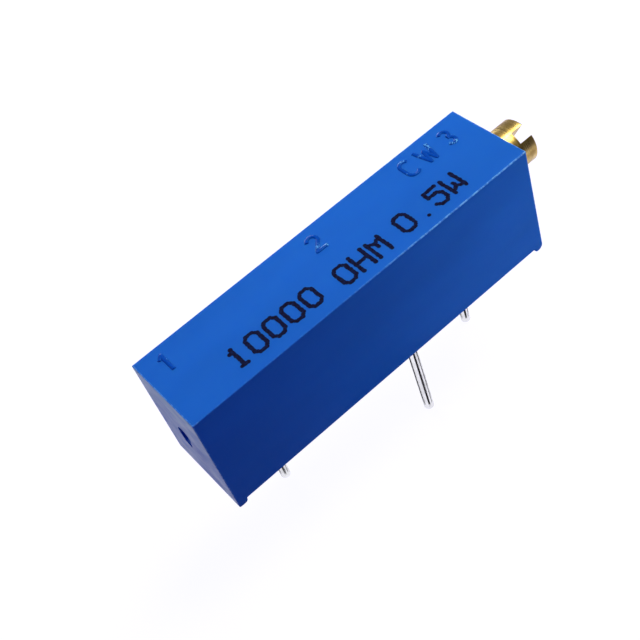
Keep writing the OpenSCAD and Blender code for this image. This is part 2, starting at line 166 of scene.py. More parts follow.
class TerminalSettings(bpy.types.PropertyGroup):
    radius: length("Pin radius", "Radius of each pin", 0.25)
    neck: length("Neck radius", "Radius where a pin passes the ceramic plate", 0.22)
    collar: length("Collar radius", "Radius of the collar inside the resin", 0.42)
    collar_height: length("Collar height", "Height of that collar", 0.55)
    bevel: length("Tip bevel", "Bevel at the tip of each pin", 0.08)
    solder: length("Solder radius", "Radius of the solder on its pad", 0.43)
    creep: length("Resin creep", "How far the resin creeps along each pin", 0.16)
    hollow: length("Resin hollow", "How far the resin sinks between the walls", 0.07)


class InnerSettings(bpy.types.PropertyGroup):
    edge: length("Moulded edge", "Rounding of the carriage's edges", 0.05)
    bore: length("Carriage bore", "Radius of the bore in the carriage", 0.84)
    relief: length("Side relief", "Depth of the relief in the carriage's sides", 0.15)
    guide: length("Guide pad", "Height and length of the pads around that relief", 0.45)
    peg: length("Peg radius", "Radius of the staked pegs", 0.16)
    peg_head: length("Peg head radius", "Radius of the staked peg heads", 0.24)
    peg_back: length("Peg place", "Distance from the carriage's middle to the pegs", 0.45)
    sheet: length("Wiper sheet", "Thickness of the wiper's sheet metal", 0.08)
    finger: length("Finger width", "Width of each wiper finger", 0.14)
    finger_pitch: length("Finger pitch", "Spacing of the fingers on each track", 0.2)
    track_gap: length("Track gap", "Distance between the middles of the two tracks", 0.95)
    plate: length("Wiper plate", "Length of the wiper's plate along the carriage", 0.72)
    clip_gap: length("Clip opening", "Radius of the opening in the retainer", 0.69)


class FinishSettings(bpy.types.PropertyGroup):
    plastic: colour("Plastic", "Moulded body", (0.0125, 0.1360, 0.6100))
    ink: colour("Ink", "Printed rating", (0.0060, 0.0030, 0.0160))
    brass: colour("Brass", "Adjusting screw", (0.6300, 0.4500, 0.1500))
    tin: colour("Tin", "Pins", (0.9000, 0.9000, 0.9100))
    resin: colour("Resin", "Base seal", (0.0120, 0.0600, 0.2600))
    solder: colour("Solder", "Solder joints", (0.6800, 0.6800, 0.7000))
    alumina: colour("Alumina", "Ceramic plate", (0.8300, 0.8100, 0.7500))
    cermet: colour("Cermet", "Resistive track", (0.0160, 0.0140, 0.0150))
    silver: colour("Silver film", "Collector and pads", (0.6200, 0.6100, 0.5800))
    steel: colour("Steel", "Retainer", (0.5600, 0.5600, 0.5800))
    rubber: colour("Rubber", "Seal ring", (0.0100, 0.0100, 0.0110))
    nylon: colour("Nylon", "Carriage", (0.7600, 0.7300, 0.6400))
    alloy: colour("Alloy", "Wiper", (0.7600, 0.5800, 0.2800))


class StageSettings(bpy.types.PropertyGroup):
    lens: FloatProperty(name="Lens", description="Focal length for a 36 mm sensor, in mm", default=63.07)
    floor: colour("Floor", "Colour of the pale floor", (0.0900, 0.0800, 0.2200))
    glow: FloatProperty(name="Floor glow", description="White added to the floor where it is seen", default=0.95)
    key: FloatProperty(name="Key", description="Brightness of the softbox overhead; 1 is white", default=9.3)
    key_tint: colour("Key tint", "Colour of that softbox", (1.0000, 0.9800, 0.7700))
    fill: FloatProperty(name="Fill", description="Brightness of the softbox beside the head", default=5.0)
    left: FloatProperty(name="Left", description="Brightness of the softbox beside the far end", default=3.6)
    back: FloatProperty(name="Back", description="Brightness of the low strip light at the back", default=6.0)
    dome: FloatProperty(name="Dome", description="Brightness of the room around the object", default=0.19)
    dome_tint: colour("Dome tint", "Colour of the room around the object", (0.0500, 0.0800, 1.0000))
    shine_back: FloatProperty(name="Shine behind", description="What mirrors see of the room behind", default=0.3)
    shine_front: FloatProperty(name="Shine in front", description="What mirrors see in front", default=0.1)
    shine_tint: colour("Shine tint", "Colour of the room in mirrors", (0.9000, 0.9000, 1.0000))
    floor_steps: IntProperty(name="Floor steps", description="Rows of the floor's grid", default=2, min=1)


GROUPS = (
    ("housing", HousingSettings),
    ("marks", MarkSettings),
    ("rating", PrintSettings),
    ("screw", ScrewSettings),
    ("terminals", TerminalSettings),
    ("inner", InnerSettings),
    ("finish", FinishSettings),
    ("stage", StageSettings),
)


class TrimmerSettings(bpy.types.PropertyGroup):
    """All the sizes and colours, in one group for each kind of piece."""

    housing: PointerProperty(type=HousingSettings)
    marks: PointerProperty(type=MarkSettings)
    rating: PointerProperty(type=PrintSettings)
    screw: PointerProperty(type=ScrewSettings)
    terminals: PointerProperty(type=TerminalSettings)
    inner: PointerProperty(type=InnerSettings)
    finish: PointerProperty(type=FinishSettings)
    stage: PointerProperty(type=StageSettings)


# Meshes


def as_piece(name, shape):
    """A new object in the scene from a bmesh, with its normals pointing outwards."""
    bmesh.ops.remove_doubles(shape, verts=shape.verts, dist=JOIN)
    bmesh.ops.recalc_face_normals(shape, faces=shape.faces)
    mesh = bpy.data.meshes.new(name)
    shape.to_mesh(mesh)
    shape.free()
    piece = bpy.data.objects.new(name, mesh)
    bpy.context.scene.collection.objects.link(piece)
    return piece


def evaluated_mesh(source):
    """The mesh of an object with its modifiers applied."""
    depsgraph = bpy.context.evaluated_depsgraph_get()
    return bpy.data.meshes.new_from_object(source.evaluated_get(depsgraph))


def settle(piece):
    """Applies the modifiers of a mesh piece."""
    mesh = evaluated_mesh(piece)
    piece.modifiers.clear()
    piece.data = mesh


def block(name, low, high):
    """A box between two corners."""
    shape = bmesh.new()
    bmesh.ops.create_cube(shape, size=1.0)
    for vert in shape.verts:
        for axis in range(3):
            vert.co[axis] = high[axis] if vert.co[axis] > 0 else low[axis]
    return as_piece(name, shape)


def extruded(name, outline, low, high, axis):
    """A prism: outline is a list of points in the other two axes, in their order."""
    shape = bmesh.new()
    verts = []
    for point in outline:
        place = list(point)
        place.insert(axis, low)
        verts.append(shape.verts.new(place))
    face = shape.faces.new(verts)
    moved = bmesh.ops.extrude_face_region(shape, geom=[face])
    for item in moved["geom"]:
        if isinstance(item, bmesh.types.BMVert):
            item.co[axis] = high
    return as_piece(name, shape)


def lathe(name, profile, centre, axis=0, segments=96, closed=False):
    """A solid of revolution about a line through centre: profile lists (place along it, radius)."""
    shape = bmesh.new()
    across = [other for other in range(3) if other != axis]
    rings = []
    for place, radius in profile:
        ring = []
        for step in range(segments if radius > 0 else 1):
            angle = 2 * math.pi * step / segments
            point = [0.0, 0.0, 0.0]
            point[axis] = place
            point[across[0]] = centre[across[0]] + radius * math.cos(angle)
            point[across[1]] = centre[across[1]] + radius * math.sin(angle)
            ring.append(shape.verts.new(point))
        rings.append(ring)
    pairs = list(zip(rings, rings[1:]))
    if closed:
        pairs.append((rings[-1], rings[0]))
    for near, far in pairs:
        for step in range(segments):
            after = step + 1
            corners = [
                near[step % len(near)],
                near[after % segments % len(near)],
                far[after % segments % len(far)],
                far[step % len(far)],
            ]
            shape.faces.new(list(dict.fromkeys(corners)))
    return as_piece(name, shape)


def arc(centre, radius, start, end, steps):
    """Points on an arc between two angles in degrees."""
    angles = [math.radians(start + (end - start) * step / steps) for step in range(steps + 1)]
    return [(centre[0] + radius * math.cos(a), centre[1] + radius * math.sin(a)) for a in angles]


def soften(piece, width, segments=3, angle=30):
    """Rounds the edges that turn by more than an angle in degrees."""
    edge = piece.modifiers.new("Soft edges", "BEVEL")
    edge.width = width
    edge.segments = segments
    edge.limit_method = "ANGLE"
    edge.angle_limit = math.radians(angle)
    settle(piece)


def combine(piece, other, operation):
    """Cuts another solid from the piece, or unites the two, and removes the other."""
    cut = piece.modifiers.new("Combine", "BOOLEAN")
    cut.operation = operation
    cut.solver = "EXACT"
    cut.object = other
    settle(piece)
    bpy.data.objects.remove(other)


def join(piece, others, apart=False):
    """Adds the meshes of other solids to the piece, with materials of their own or not."""
    shape = bmesh.new()
    for index, source in enumerate([piece] + others):
        start = len(shape.faces)
        shape.from_mesh(source.data)
        shape.faces.ensure_lookup_table()
        for face in shape.faces[start:]:
            face.material_index = index if apart else 0
    shape.to_mesh(piece.data)
    shape.free()
    for other in others:
        bpy.data.objects.remove(other)


def smooth(piece, angle=32):
    """Shades the piece smooth, apart from edges that turn by more than an angle in degrees."""
    piece.data.shade_smooth()
    piece.data.set_sharp_from_angle(angle=math.radians(angle))


def weigh_normals(piece):
    """Keeps wide flat faces flat in the shading, next to their small bevels."""
    weigh = piece.modifiers.new("Flat faces", "WEIGHTED_NORMAL")
    weigh.keep_sharp = True
    settle(piece)


def hand_over(piece, body, finish, nodes=(), more=()):
    """Gives a finished piece its materials, its body and the nodes that it stands for."""
    kinds = [face.material_index for face in piece.data.polygons]
    piece.data.materials.clear()
    for material in (finish, *more):
        piece.data.materials.append(material)
    if more:
        piece.data.polygons.foreach_set("material_index", kinds)
    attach(piece, body)
    if nodes:
        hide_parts(*nodes)
    return piece


# Node trees


def add_node(tree, kind, inputs=None, **settings):
    """A node with its settings made, and its inputs linked or set."""
    made = tree.nodes.new(kind)
    for key, value in settings.items():
        setattr(made, key, value)
    for key, value in (inputs or {}).items():
        if isinstance(value, bpy.types.NodeSocket):
            tree.links.new(value, made.inputs[key])
        else:
            made.inputs[key].default_value = value
    return made


def maths(tree, operation, first, second=0.0):
    """The result of a Math node."""
    return add_node(tree, "ShaderNodeMath", {0: first, 1: second}, operation=operation).outputs[0]


def spread(tree, value, low, high, start=0.0, end=1.0):
    """A value taken from one range to another, and clamped there."""
    ranged = add_node(
        tree,
        "ShaderNodeMapRange",
        {"Value": value, "From Min": start, "From Max": end, "To Min": low, "To Max": high},
    )
    return ranged.outputs["Result"]


def geometry_tree(name, sizes):
    """A Geometry Nodes tree with a geometry, a material and named sizes as its inputs."""
    tree = bpy.data.node_groups.new(name, "GeometryNodeTree")
    tree.interface.new_socket("Geometry", in_out="INPUT", socket_type="NodeSocketGeometry")
    tree.interface.new_socket("Material", in_out="INPUT", socket_type="NodeSocketMaterial")
    for size in sizes:
        tree.interface.new_socket(size, in_out="INPUT", socket_type="NodeSocketFloat")
    tree.interface.new_socket("Geometry", in_out="OUTPUT", socket_type="NodeSocketGeometry")
    return tree, add_node(tree, "NodeGroupInput").outputs


def close_tree(tree, result, material):
    """Ends a Geometry Nodes tree: instances become real and get their material."""
    real = add_node(tree, "GeometryNodeRealizeInstances", {"Geometry": result})
    painted = add_node(tree, "GeometryNodeSetMaterial", {"Geometry": real.outputs[0], "Material": material})
    add_node(tree, "NodeGroupOutput", {0: painted.outputs[0]})


def grown(name, source, tree, values):
    """A plain mesh piece from a source object with a Geometry Nodes tree, and the source removed."""
    grow = source.modifiers.new("Grow", "NODES")
    grow.node_group = tree
    for socket in tree.interface.items_tree:
        if socket.in_out == "INPUT" and socket.name in values:
            grow[socket.identifier] = values[socket.name]
    mesh = evaluated_mesh(source)
    mesh.name = name
    bpy.data.objects.remove(source)
    piece = bpy.data.objects.new(name, mesh)
    bpy.context.scene.collection.objects.link(piece)
    return piece


def strokes(name, lines):
    """A curve object from lists of points; a line that ends where it starts is closed."""
    curve = bpy.data.curves.new(name, "CURVE")
    curve.dimensions = "3D"
    for line in lines:
        looped = line[0] == line[-1]
        points = line[:-1] if looped else line
        spline = curve.splines.new("POLY")
        spline.points.add(len(points) - 1)
        spline.use_cyclic_u = looped
        for point, place in zip(spline.points, points):
            point.co = (*place, 1.0)
    source = bpy.data.objects.new(name, curve)
    bpy.context.scene.collection.objects.link(source)
    return source


def stroke_tree():
    """Rounded strokes along lines in a level plane, raised by half their thickness."""
    tree, given = geometry_tree("Strokes", ("Width", "Thickness", "Step"))
    line = add_node(
        tree,
        "GeometryNodeResampleCurve",
        {"Curve": given["Geometry"], "Length": given["Step"]},
        mode="LENGTH",
    ).outputs[0]
    line = add_node(tree, "GeometryNodeSetCurveNormal", {"Curve": line}, mode="Z_UP").outputs[0]
    circle = add_node(tree, "GeometryNodeCurvePrimitiveCircle", {"Resolution": 16, "Radius": 0.5}).outputs[0]
    flat = add_node(
        tree,
        "ShaderNodeCombineXYZ",
        {0: given["Width"], 1: maths(tree, "MULTIPLY", given["Thickness"], 2.0), 2: 1.0},
    ).outputs[0]
    section = add_node(tree, "GeometryNodeTransform", {"Geometry": circle, "Scale": flat}).outputs[0]
    swept = add_node(
        tree, "GeometryNodeCurveToMesh", {"Curve": line, "Profile Curve": section, "Fill Caps": True}
    ).outputs[0]
    close_tree(tree, swept, given["Material"])
    return tree


def dot_tree():
    """A flat round drop of ink on each point, each a little different in size, height and place."""
    tree, given = geometry_tree("Ink dots", ("Dot", "Thickness", "Wander"))
    drop = add_node(
        tree,
        "GeometryNodeMeshCylinder",
        {"Vertices": 20, "Side Segments": 1, "Fill Segments": 1, "Radius": 0.5, "Depth": 2.0},
    ).outputs["Mesh"]
    shift = add_node(
        tree,
        "FunctionNodeRandomValue",
        {0: (-1.0, -1.0, 0.0), 1: (1.0, 1.0, 0.0), "Seed": 3},
        data_type="FLOAT_VECTOR",
    ).outputs[0]
    shift = add_node(
        tree, "ShaderNodeVectorMath", {0: shift, "Scale": given["Wander"]}, operation="SCALE"
    ).outputs[0]
    points = add_node(tree, "GeometryNodeSetPosition", {"Geometry": given["Geometry"], "Offset": shift}).outputs[0]
    size = add_node(tree, "FunctionNodeRandomValue", {2: 0.86, 3: 1.1, "Seed": 7}, data_type="FLOAT").outputs[1]
    height = add_node(tree, "FunctionNodeRandomValue", {2: 0.6, 3: 1.0, "Seed": 11}, data_type="FLOAT").outputs[1]
    across = maths(tree, "MULTIPLY", size, given["Dot"])
    deep = maths(tree, "MULTIPLY", height, given["Thickness"])
    scale = add_node(tree, "ShaderNodeCombineXYZ", {0: across, 1: across, 2: deep}).outputs[0]
    printed = add_node(
        tree, "GeometryNodeInstanceOnPoints", {"Points": points, "Instance": drop, "Scale": scale}
    ).outputs[0]
    close_tree(tree, printed, given["Material"])
    return tree


def thread_tree():
    """A closed thread ridge that winds about the Z axis and fades out at both ends."""
    tree, given = geometry_tree("Lead thread", ("Core", "Crest", "Pitch", "Length"))
    turns = maths(tree, "DIVIDE", given["Length"], given["Pitch"])
    spiral = add_node(
        tree,
        "GeometryNodeCurveSpiral",
        {
            "Resolution": 48,
            "Rotations": turns,
            "Start Radius": given["Core"],
            "End Radius": given["Core"],
            "Height": given["Length"],
        },
    ).outputs[0]
    spiral = add_node(tree, "GeometryNodeSetCurveNormal", {"Curve": spiral}, mode="Z_UP").outputs[0]
    along = add_node(tree, "GeometryNodeSplineParameter").outputs["Factor"]
    ends = maths(tree, "SUBTRACT", 0.5, maths(tree, "ABSOLUTE", maths(tree, "SUBTRACT", along, 0.5)))
    fade = spread(tree, ends, 0.05, 1.0, 0.0, 0.02)
    section = add_node(
        tree,
        "GeometryNodeCurvePrimitiveQuadrilateral",
        {
            "Bottom Width": maths(tree, "MULTIPLY", given["Pitch"], 0.95),
            "Top Width": maths(tree, "MULTIPLY", given["Pitch"], 0.3),
            "Height": maths(tree, "MULTIPLY", maths(tree, "SUBTRACT", given["Crest"], given["Core"]), 2.0),
            "Offset": 0.0,
        },
        mode="TRAPEZOID",
    ).outputs[0]
    turned = add_node(
        tree, "GeometryNodeTransform", {"Geometry": section, "Rotation": (0.0, 0.0, math.pi / 2)}
    ).outputs[0]
    swept = add_node(
        tree,
        "GeometryNodeCurveToMesh",
        {"Curve": spiral, "Profile Curve": turned, "Scale": fade, "Fill Caps": True},
    ).outputs[0]
    close_tree(tree, swept, given["Material"])
    return tree


def finger_tree():
    """Three like fingers on each of two tracks, from one finger's line."""
    tree, given = geometry_tree("Wiper fingers", ("Finger width", "Sheet", "Finger pitch", "Track gap"))
    line = add_node(tree, "GeometryNodeSetCurveNormal", {"Curve": given["Geometry"]}, mode="MINIMUM_TWIST").outputs[0]
    section = add_node(
        tree,
        "GeometryNodeCurvePrimitiveQuadrilateral",
        {"Width": given["Sheet"], "Height": given["Finger width"]},
        mode="RECTANGLE",
    ).outputs[0]
    finger = add_node(
        tree, "GeometryNodeCurveToMesh", {"Curve": line, "Profile Curve": section, "Fill Caps": True}
    ).outputs[0]
    places = add_node(tree, "GeometryNodeJoinGeometry")
    for side in (-0.5, 0.5):
        middle = maths(tree, "MULTIPLY", given["Track gap"], side)
        start = maths(tree, "SUBTRACT", middle, given["Finger pitch"])
        row = add_node(
            tree,
            "GeometryNodeMeshLine",
            {
                "Count": 3,
                "Start Location": add_node(tree, "ShaderNodeCombineXYZ", {1: start}).outputs[0],
                "Offset": add_node(tree, "ShaderNodeCombineXYZ", {1: given["Finger pitch"]}).outputs[0],
            },
            mode="OFFSET",
        ).outputs[0]
        tree.links.new(row, places.inputs[0])
    spaced = add_node(
        tree, "GeometryNodeInstanceOnPoints", {"Points": places.outputs[0], "Instance": finger}
    ).outputs[0]
    close_tree(tree, spaced, given["Material"])
    return tree


# Materials


def new_finish(name, shade, roughness, metallic=0.0, specular=0.5):
    """A material with a Principled shader, and its Object coordinates."""
    made = bpy.data.materials.new(name)
    made.use_nodes = True
    tree = made.node_tree
    shader = tree.nodes["Principled BSDF"]
    shader.inputs["Base Color"].default_value = (*shade, 1.0)
    shader.inputs["Roughness"].default_value = roughness
    shader.inputs["Metallic"].default_value = metallic
    shader.inputs["Specular IOR Level"].default_value = specular
    place = add_node(tree, "ShaderNodeTexCoord").outputs["Object"]
    return made, tree, shader, place


def grain(tree, place, size, detail=3.0, stretch=(1.0, 1.0, 1.0)):
    """Noise whose patches are about a given size in millimetres, drawn out along the axes."""
    if stretch != (1.0, 1.0, 1.0):
        scale = tuple(1.0 / factor for factor in stretch)
        place = add_node(tree, "ShaderNodeMapping", {"Vector": place, "Scale": scale}).outputs[0]
    noise = add_node(tree, "ShaderNodeTexNoise", {"Vector": place, "Scale": 1.0 / (size * MM), "Detail": detail})
    return noise.outputs[0]


def blend(tree, factor, first, second):
    """Two colours mixed by a factor; each is a socket or a tuple."""
    made = add_node(tree, "ShaderNodeMix", data_type="RGBA")
    for socket, value in ((made.inputs[0], factor), (made.inputs[6], first), (made.inputs[7], second)):
        if isinstance(value, bpy.types.NodeSocket):
            tree.links.new(value, socket)
        else:
            socket.default_value = (*value, 1.0) if isinstance(value, tuple) else value
    return made.outputs[2]


def tinted(shade, factor):
    """A shade made lighter or darker."""
    return tuple(min(1.0, channel * factor) for channel in shade)


def bumped(tree, shader, layers):
    """Sets the shader's normal from layers of (height, depth in millimetres)."""
    normal = None
    for height, depth in layers:
        inputs = {"Height": height, "Distance": depth * MM, "Strength": 1.0}
        if normal:
            inputs["Normal"] = normal
        normal = add_node(tree, "ShaderNodeBump", inputs).outputs[0]
    tree.links.new(normal, shader.inputs["Normal"])


def speckled(name, shade, roughness, size, contrast, depth, metallic=0.0, specular=0.5, stretch=(1.0, 1.0, 1.0)):
    """A finish with a grain: its colour, roughness and height vary in patches of one size."""
    made, tree, shader, place = new_finish(name, shade, roughness, metallic, specular)
    patches = grain(tree, place, size, 4.0, stretch)
    broad = grain(tree, place, size * 9.0, 2.0)
    mixed = maths(tree, "ADD", maths(tree, "MULTIPLY", patches, 0.6), maths(tree, "MULTIPLY", broad, 0.4))
    factor = spread(tree, mixed, 0.0, 1.0, 0.32, 0.68)
    tree.links.new(
        blend(tree, factor, tinted(shade, 1.0 - contrast), tinted(shade, 1.0 + contrast)), shader.inputs["Base Color"]
    )
    tree.links.new(spread(tree, mixed, roughness * 0.8, roughness * 1.25, 0.3, 0.7), shader.inputs["Roughness"])
    bumped(tree, shader, [(patches, depth)])
    return made


def edge_wear_and_highlight_mask(tree, place, sizes, top):
    """1 along the body's outer edges, and 0 from a small distance on: where two faces are near."""
    parts = add_node(tree, "ShaderNodeSeparateXYZ", {0: place}).outputs
    lean = spread(tree, parts["Z"], 0.0, sizes.draft, sizes.foot_height, top)
    near = spread(tree, parts["Z"], 0.0, 1.0, top - sizes.edge, top)
    for axis, low, high in (("X", BODY_LOW[0], BODY_HIGH[0]), ("Y", BODY_LOW[1], BODY_HIGH[1])):
        half = (high - low) / 2
        off = maths(tree, "ABSOLUTE", maths(tree, "SUBTRACT", parts[axis], (low + high) / 2))
        reach = maths(tree, "ADD", off, lean)
        near = maths(tree, "ADD", near, spread(tree, reach, 0.0, 1.0, half - sizes.edge, half))
    return spread(tree, near, 0.0, 1.0, 1.05, 1.4)


def moulded_plastic(finish, sizes, top, name="moulded_plastic", specular=0.04, smears_and_sheen=0.0):
    """Satin blue plastic: fine grain, faint flow, small scuffs, edge wear with a painted pale highlight along it and,
    if asked, smeared marks with a painted pale sheen.
    """
    base = tuple(finish.plastic)
    made, tree, shader, place = new_finish(name, base, 0.38, specular=specular)
    flow = grain(tree, place, 2.6, 2.0, (3.0, 1.0, 1.0))
    fine = grain(tree, place, 0.035, 2.0)
    scuff = grain(tree, place, 0.35, 5.0, (0.35, 2.5, 1.0))
    shade = blend(tree, spread(tree, flow, 0.0, 1.0, 0.3, 0.7), tinted(base, 0.94), tinted(base, 1.06))

    parts = add_node(tree, "ShaderNodeSeparateXYZ", {0: place}).outputs
    # Painted highlight, partly edge wear: a pale broken line along the outer edges. It grows toward the screw end,
    # where the light falls, and fades in at the far end.
    ragged = spread(tree, grain(tree, place, 0.14, 6.0), 0.0, 1.0, 0.46, 0.56)
    toward_screw = spread(tree, parts["X"], 0.1, 1.0, 4.5 * MM, 11.0 * MM)
    at_far_end = spread(tree, parts["X"], 0.7, 0.0, BODY_LOW[0] + 0.2 * MM, BODY_LOW[0] + 0.6 * MM)
    along = maths(tree, "MAXIMUM", toward_screw, at_far_end)
    broken = maths(tree, "MULTIPLY", spread(tree, ragged, 0.3, 1.0), along)
    wear_and_highlight = maths(tree, "MULTIPLY", edge_wear_and_highlight_mask(tree, place, sizes, top), broken)
    # The pale cyan of the painted edge highlight.
    shade = blend(tree, wear_and_highlight, shade, (0.16, 0.42, 0.86))
    layers = [(flow, 0.02), (scuff, 0.0015), (fine, 0.0018)]
    # Smeared end face: the smeared marks are the face's own. The pale blue-grey and its rise toward the top are a
    # painted sheen, standing in for the white reflection that the end face shows at a grazing view.
    if smears_and_sheen:
        smear = grain(tree, place, 1.2, 4.0)
        rise = spread(tree, parts["Z"], 0.0, 0.7, 3.0 * MM, 6.2 * MM)
        pale = maths(tree, "ADD", spread(tree, smear, 0.0, smears_and_sheen, 0.35, 0.7), rise)
        shade = blend(tree, pale, shade, (0.30, 0.52, 0.74))
        layers[0] = (smear, 0.006)

    shader.inputs["Subsurface Weight"].default_value = 0.5
    shader.inputs["Subsurface Radius"].default_value = (0.3, 0.6, 1.0)
    shader.inputs["Subsurface Scale"].default_value = 0.18 * MM
    tree.links.new(shade, shader.inputs["Base Color"])
    tree.links.new(spread(tree, scuff, 0.32, 0.46, 0.35, 0.65), shader.inputs["Roughness"])
    bumped(tree, shader, layers)
    return made


def marks_with_painted_shade_and_glints(finish):
    """The same plastic on the raised marks, with painted shade that makes them darker, and pale blue spots painted as
    glints.
    """
    red, green, blue = finish.plastic
    # Painted shade: the marks get a darker, deeper blue than the plastic around them.
    base = (0.1 * red, 0.5 * green, 0.75 * blue)
    made, tree, shader, place = new_finish("marks_with_painted_shade_and_glints", base, 0.25, specular=0.15)
    shader.inputs["Specular Tint"].default_value = (0.15, 0.6, 1.0, 1.0)
    pits = grain(tree, place, 0.07, 2.0)
    shade = blend(tree, spread(tree, pits, 0.0, 1.0, 0.3, 0.7), tinted(base, 0.85), tinted(base, 1.15))
    patches = spread(tree, grain(tree, place, 0.55, 1.0), 0.0, 1.0, 0.55, 0.6)
    # Painted glints: pale blue spots in small patches over the marks.
    painted_glints = maths(tree, "MULTIPLY", spread(tree, pits, 0.0, 1.0, 0.5, 0.6), patches)
    tree.links.new(blend(tree, painted_glints, shade, (0.16, 0.55, 1.0)), shader.inputs["Base Color"])
    tree.links.new(spread(tree, pits, 0.3, 0.2, 0.3, 0.7), shader.inputs["Roughness"])
    bumped(tree, shader, [(pits, 0.004)])
    return made


def printing_ink(finish):
    """Dark ink in overlapping dots, thin enough in places for the blue to come through."""
    made, tree, shader, place = new_finish("printing_ink", tuple(finish.ink), 0.55, specular=0.02)
    dots = add_node(tree, "ShaderNodeTexVoronoi", {"Vector": place, "Scale": 1.0 / (0.1 * MM)}).outputs["Distance"]
    thin = maths(tree, "ADD", spread(tree, dots, 0.0, 0.5, 0.35, 0.75), spread(tree, grain(tree, place, 0.12), 0.0, 0.5, 0.5, 0.72))
    through = tuple(0.88 * ink + 0.12 * blue for ink, blue in zip(finish.ink, finish.plastic))
    tree.links.new(blend(tree, spread(tree, thin, 0.0, 1.0), tuple(finish.ink), through), shader.inputs["Base Color"])
    bumped(tree, shader, [(dots, 0.004)])
    return made


def turned_brass(finish):
    """Turned brass: rings about the axis, drifting tone and small dull spots."""
    base = tuple(finish.brass)
    made, tree, shader, place = new_finish("turned_brass", base, 0.3, 1.0)
    centred = add_node(
        tree, "ShaderNodeMapping", {"Vector": place, "Location": (0.0, -MID_Y, -AXIS_Z)}
    ).outputs[0]
    parts = add_node(tree, "ShaderNodeSeparateXYZ", {0: centred}).outputs
    radius = maths(
        tree,
        "SQRT",
        maths(tree, "ADD", maths(tree, "MULTIPLY", parts["Y"], parts["Y"]), maths(tree, "MULTIPLY", parts["Z"], parts["Z"])),
    )
    turning = add_node(tree, "ShaderNodeCombineXYZ", {0: parts["X"], 1: radius, 2: 0.0}).outputs[0]
    rings = grain(tree, turning, 0.045, 2.0)
    spots = grain(tree, centred, 0.5, 5.0)
    dull = spread(tree, spots, 0.0, 1.0, 0.42, 0.64)
    tree.links.new(blend(tree, dull, base, (base[0] * 0.55, base[1] * 0.5, base[2] * 0.42)), shader.inputs["Base Color"])
    rough = maths(tree, "ADD", spread(tree, rings, 0.2, 0.34, 0.35, 0.65), maths(tree, "MULTIPLY", dull, 0.12))
    tree.links.new(rough, shader.inputs["Roughness"])
    bumped(tree, shader, [(rings, 0.0012), (spots, 0.003)])
    return made


def tinned_wire(finish):
    """Tinned copper wire: bright, with fine lines drawn along it and a faint bloom."""
    base = tuple(finish.tin)
    made, tree, shader, place = new_finish("tinned_wire", base, 0.14, 1.0)
    drawn = grain(tree, place, 0.06, 3.0, (1.0, 1.0, 40.0))
    bloom = grain(tree, place, 0.6, 4.0)
    tree.links.new(
        blend(tree, spread(tree, bloom, 0.0, 1.0, 0.35, 0.7), base, tinted(base, 0.78)), shader.inputs["Base Color"]
    )
    rough = maths(tree, "ADD", spread(tree, bloom, 0.08, 0.2, 0.35, 0.65), spread(tree, drawn, 0.0, 0.08))
    tree.links.new(rough, shader.inputs["Roughness"])
    bumped(tree, shader, [(drawn, 0.0012), (bloom, 0.004)])
    return made


def cast_resin(finish):
    """Cast resin: glossy and wavy, with a few pinholes painted dark as their shade."""
    base = tuple(finish.resin)
    made, tree, shader, place = new_finish("cast_resin", base, 0.25)
    waves = grain(tree, place, 1.3, 2.0)
    pores = add_node(tree, "ShaderNodeTexVoronoi", {"Vector": place, "Scale": 1.0 / (0.7 * MM)}).outputs["Distance"]
    pinholes_painted_dark = spread(tree, pores, 0.0, 1.0, 0.04, 0.1)
    shade = blend(tree, spread(tree, waves, 0.0, 1.0, 0.3, 0.7), tinted(base, 0.8), tinted(base, 1.25))
    # Painted shade: the pinholes are darkened to 0.4 of the resin's colour.
    tree.links.new(blend(tree, pinholes_painted_dark, tinted(base, 0.4), shade), shader.inputs["Base Color"])
    tree.links.new(spread(tree, waves, 0.16, 0.34, 0.3, 0.7), shader.inputs["Roughness"])
    bumped(tree, shader, [(waves, 0.05), (pinholes_painted_dark, 0.02), (grain(tree, place, 0.08), 0.002)])
    return made


# The body


def body_outline(sizes, low_x, high_x, top):
    """The side view of the body as (x, z): the drafted ends, the two feet and the rim between them."""
    far, screw = sizes.foot_far, sizes.foot_screw
    inner = sizes.foot_inner
    rim = sizes.foot_height
    far_in = low_x + sizes.foot_length
    screw_in = high_x - sizes.foot_length
    return (
        [(low_x + sizes.draft, top)]
        + arc((low_x + far, far), far, 180, 270, 6)
        + arc((far_in - inner, inner), inner, 270, 360, 4)
        + [(far_in, rim), (screw_in, rim)]
        + arc((screw_in + inner, inner), inner, 180, 270, 4)
        + arc((high_x - screw, screw), screw, 270, 360, 8)
        + [(high_x - sizes.draft, top)]
    )


def drafted_body(sizes, top):
    """The outer block with its feet; its long sides lean in above the rim."""
    outline = body_outline(sizes, BODY_LOW[0], BODY_HIGH[0], top)
    piece = extruded("housing_shell", outline, BODY_LOW[1], BODY_HIGH[1], 1)
    shape = bmesh.new()
    shape.from_mesh(piece.data)
    everything = shape.verts[:] + shape.edges[:] + shape.faces[:]
    bmesh.ops.bisect_plane(
        shape, geom=everything, dist=JOIN, plane_co=(0.0, 0.0, sizes.foot_height), plane_no=(0.0, 0.0, 1.0)
    )
    for vert in shape.verts:
        share = max(0.0, vert.co.z - sizes.foot_height) / (top - sizes.foot_height)
        vert.co.y -= math.copysign(sizes.draft * share, vert.co.y - MID_Y)
    shape.to_mesh(piece.data)
    shape.free()
    return piece


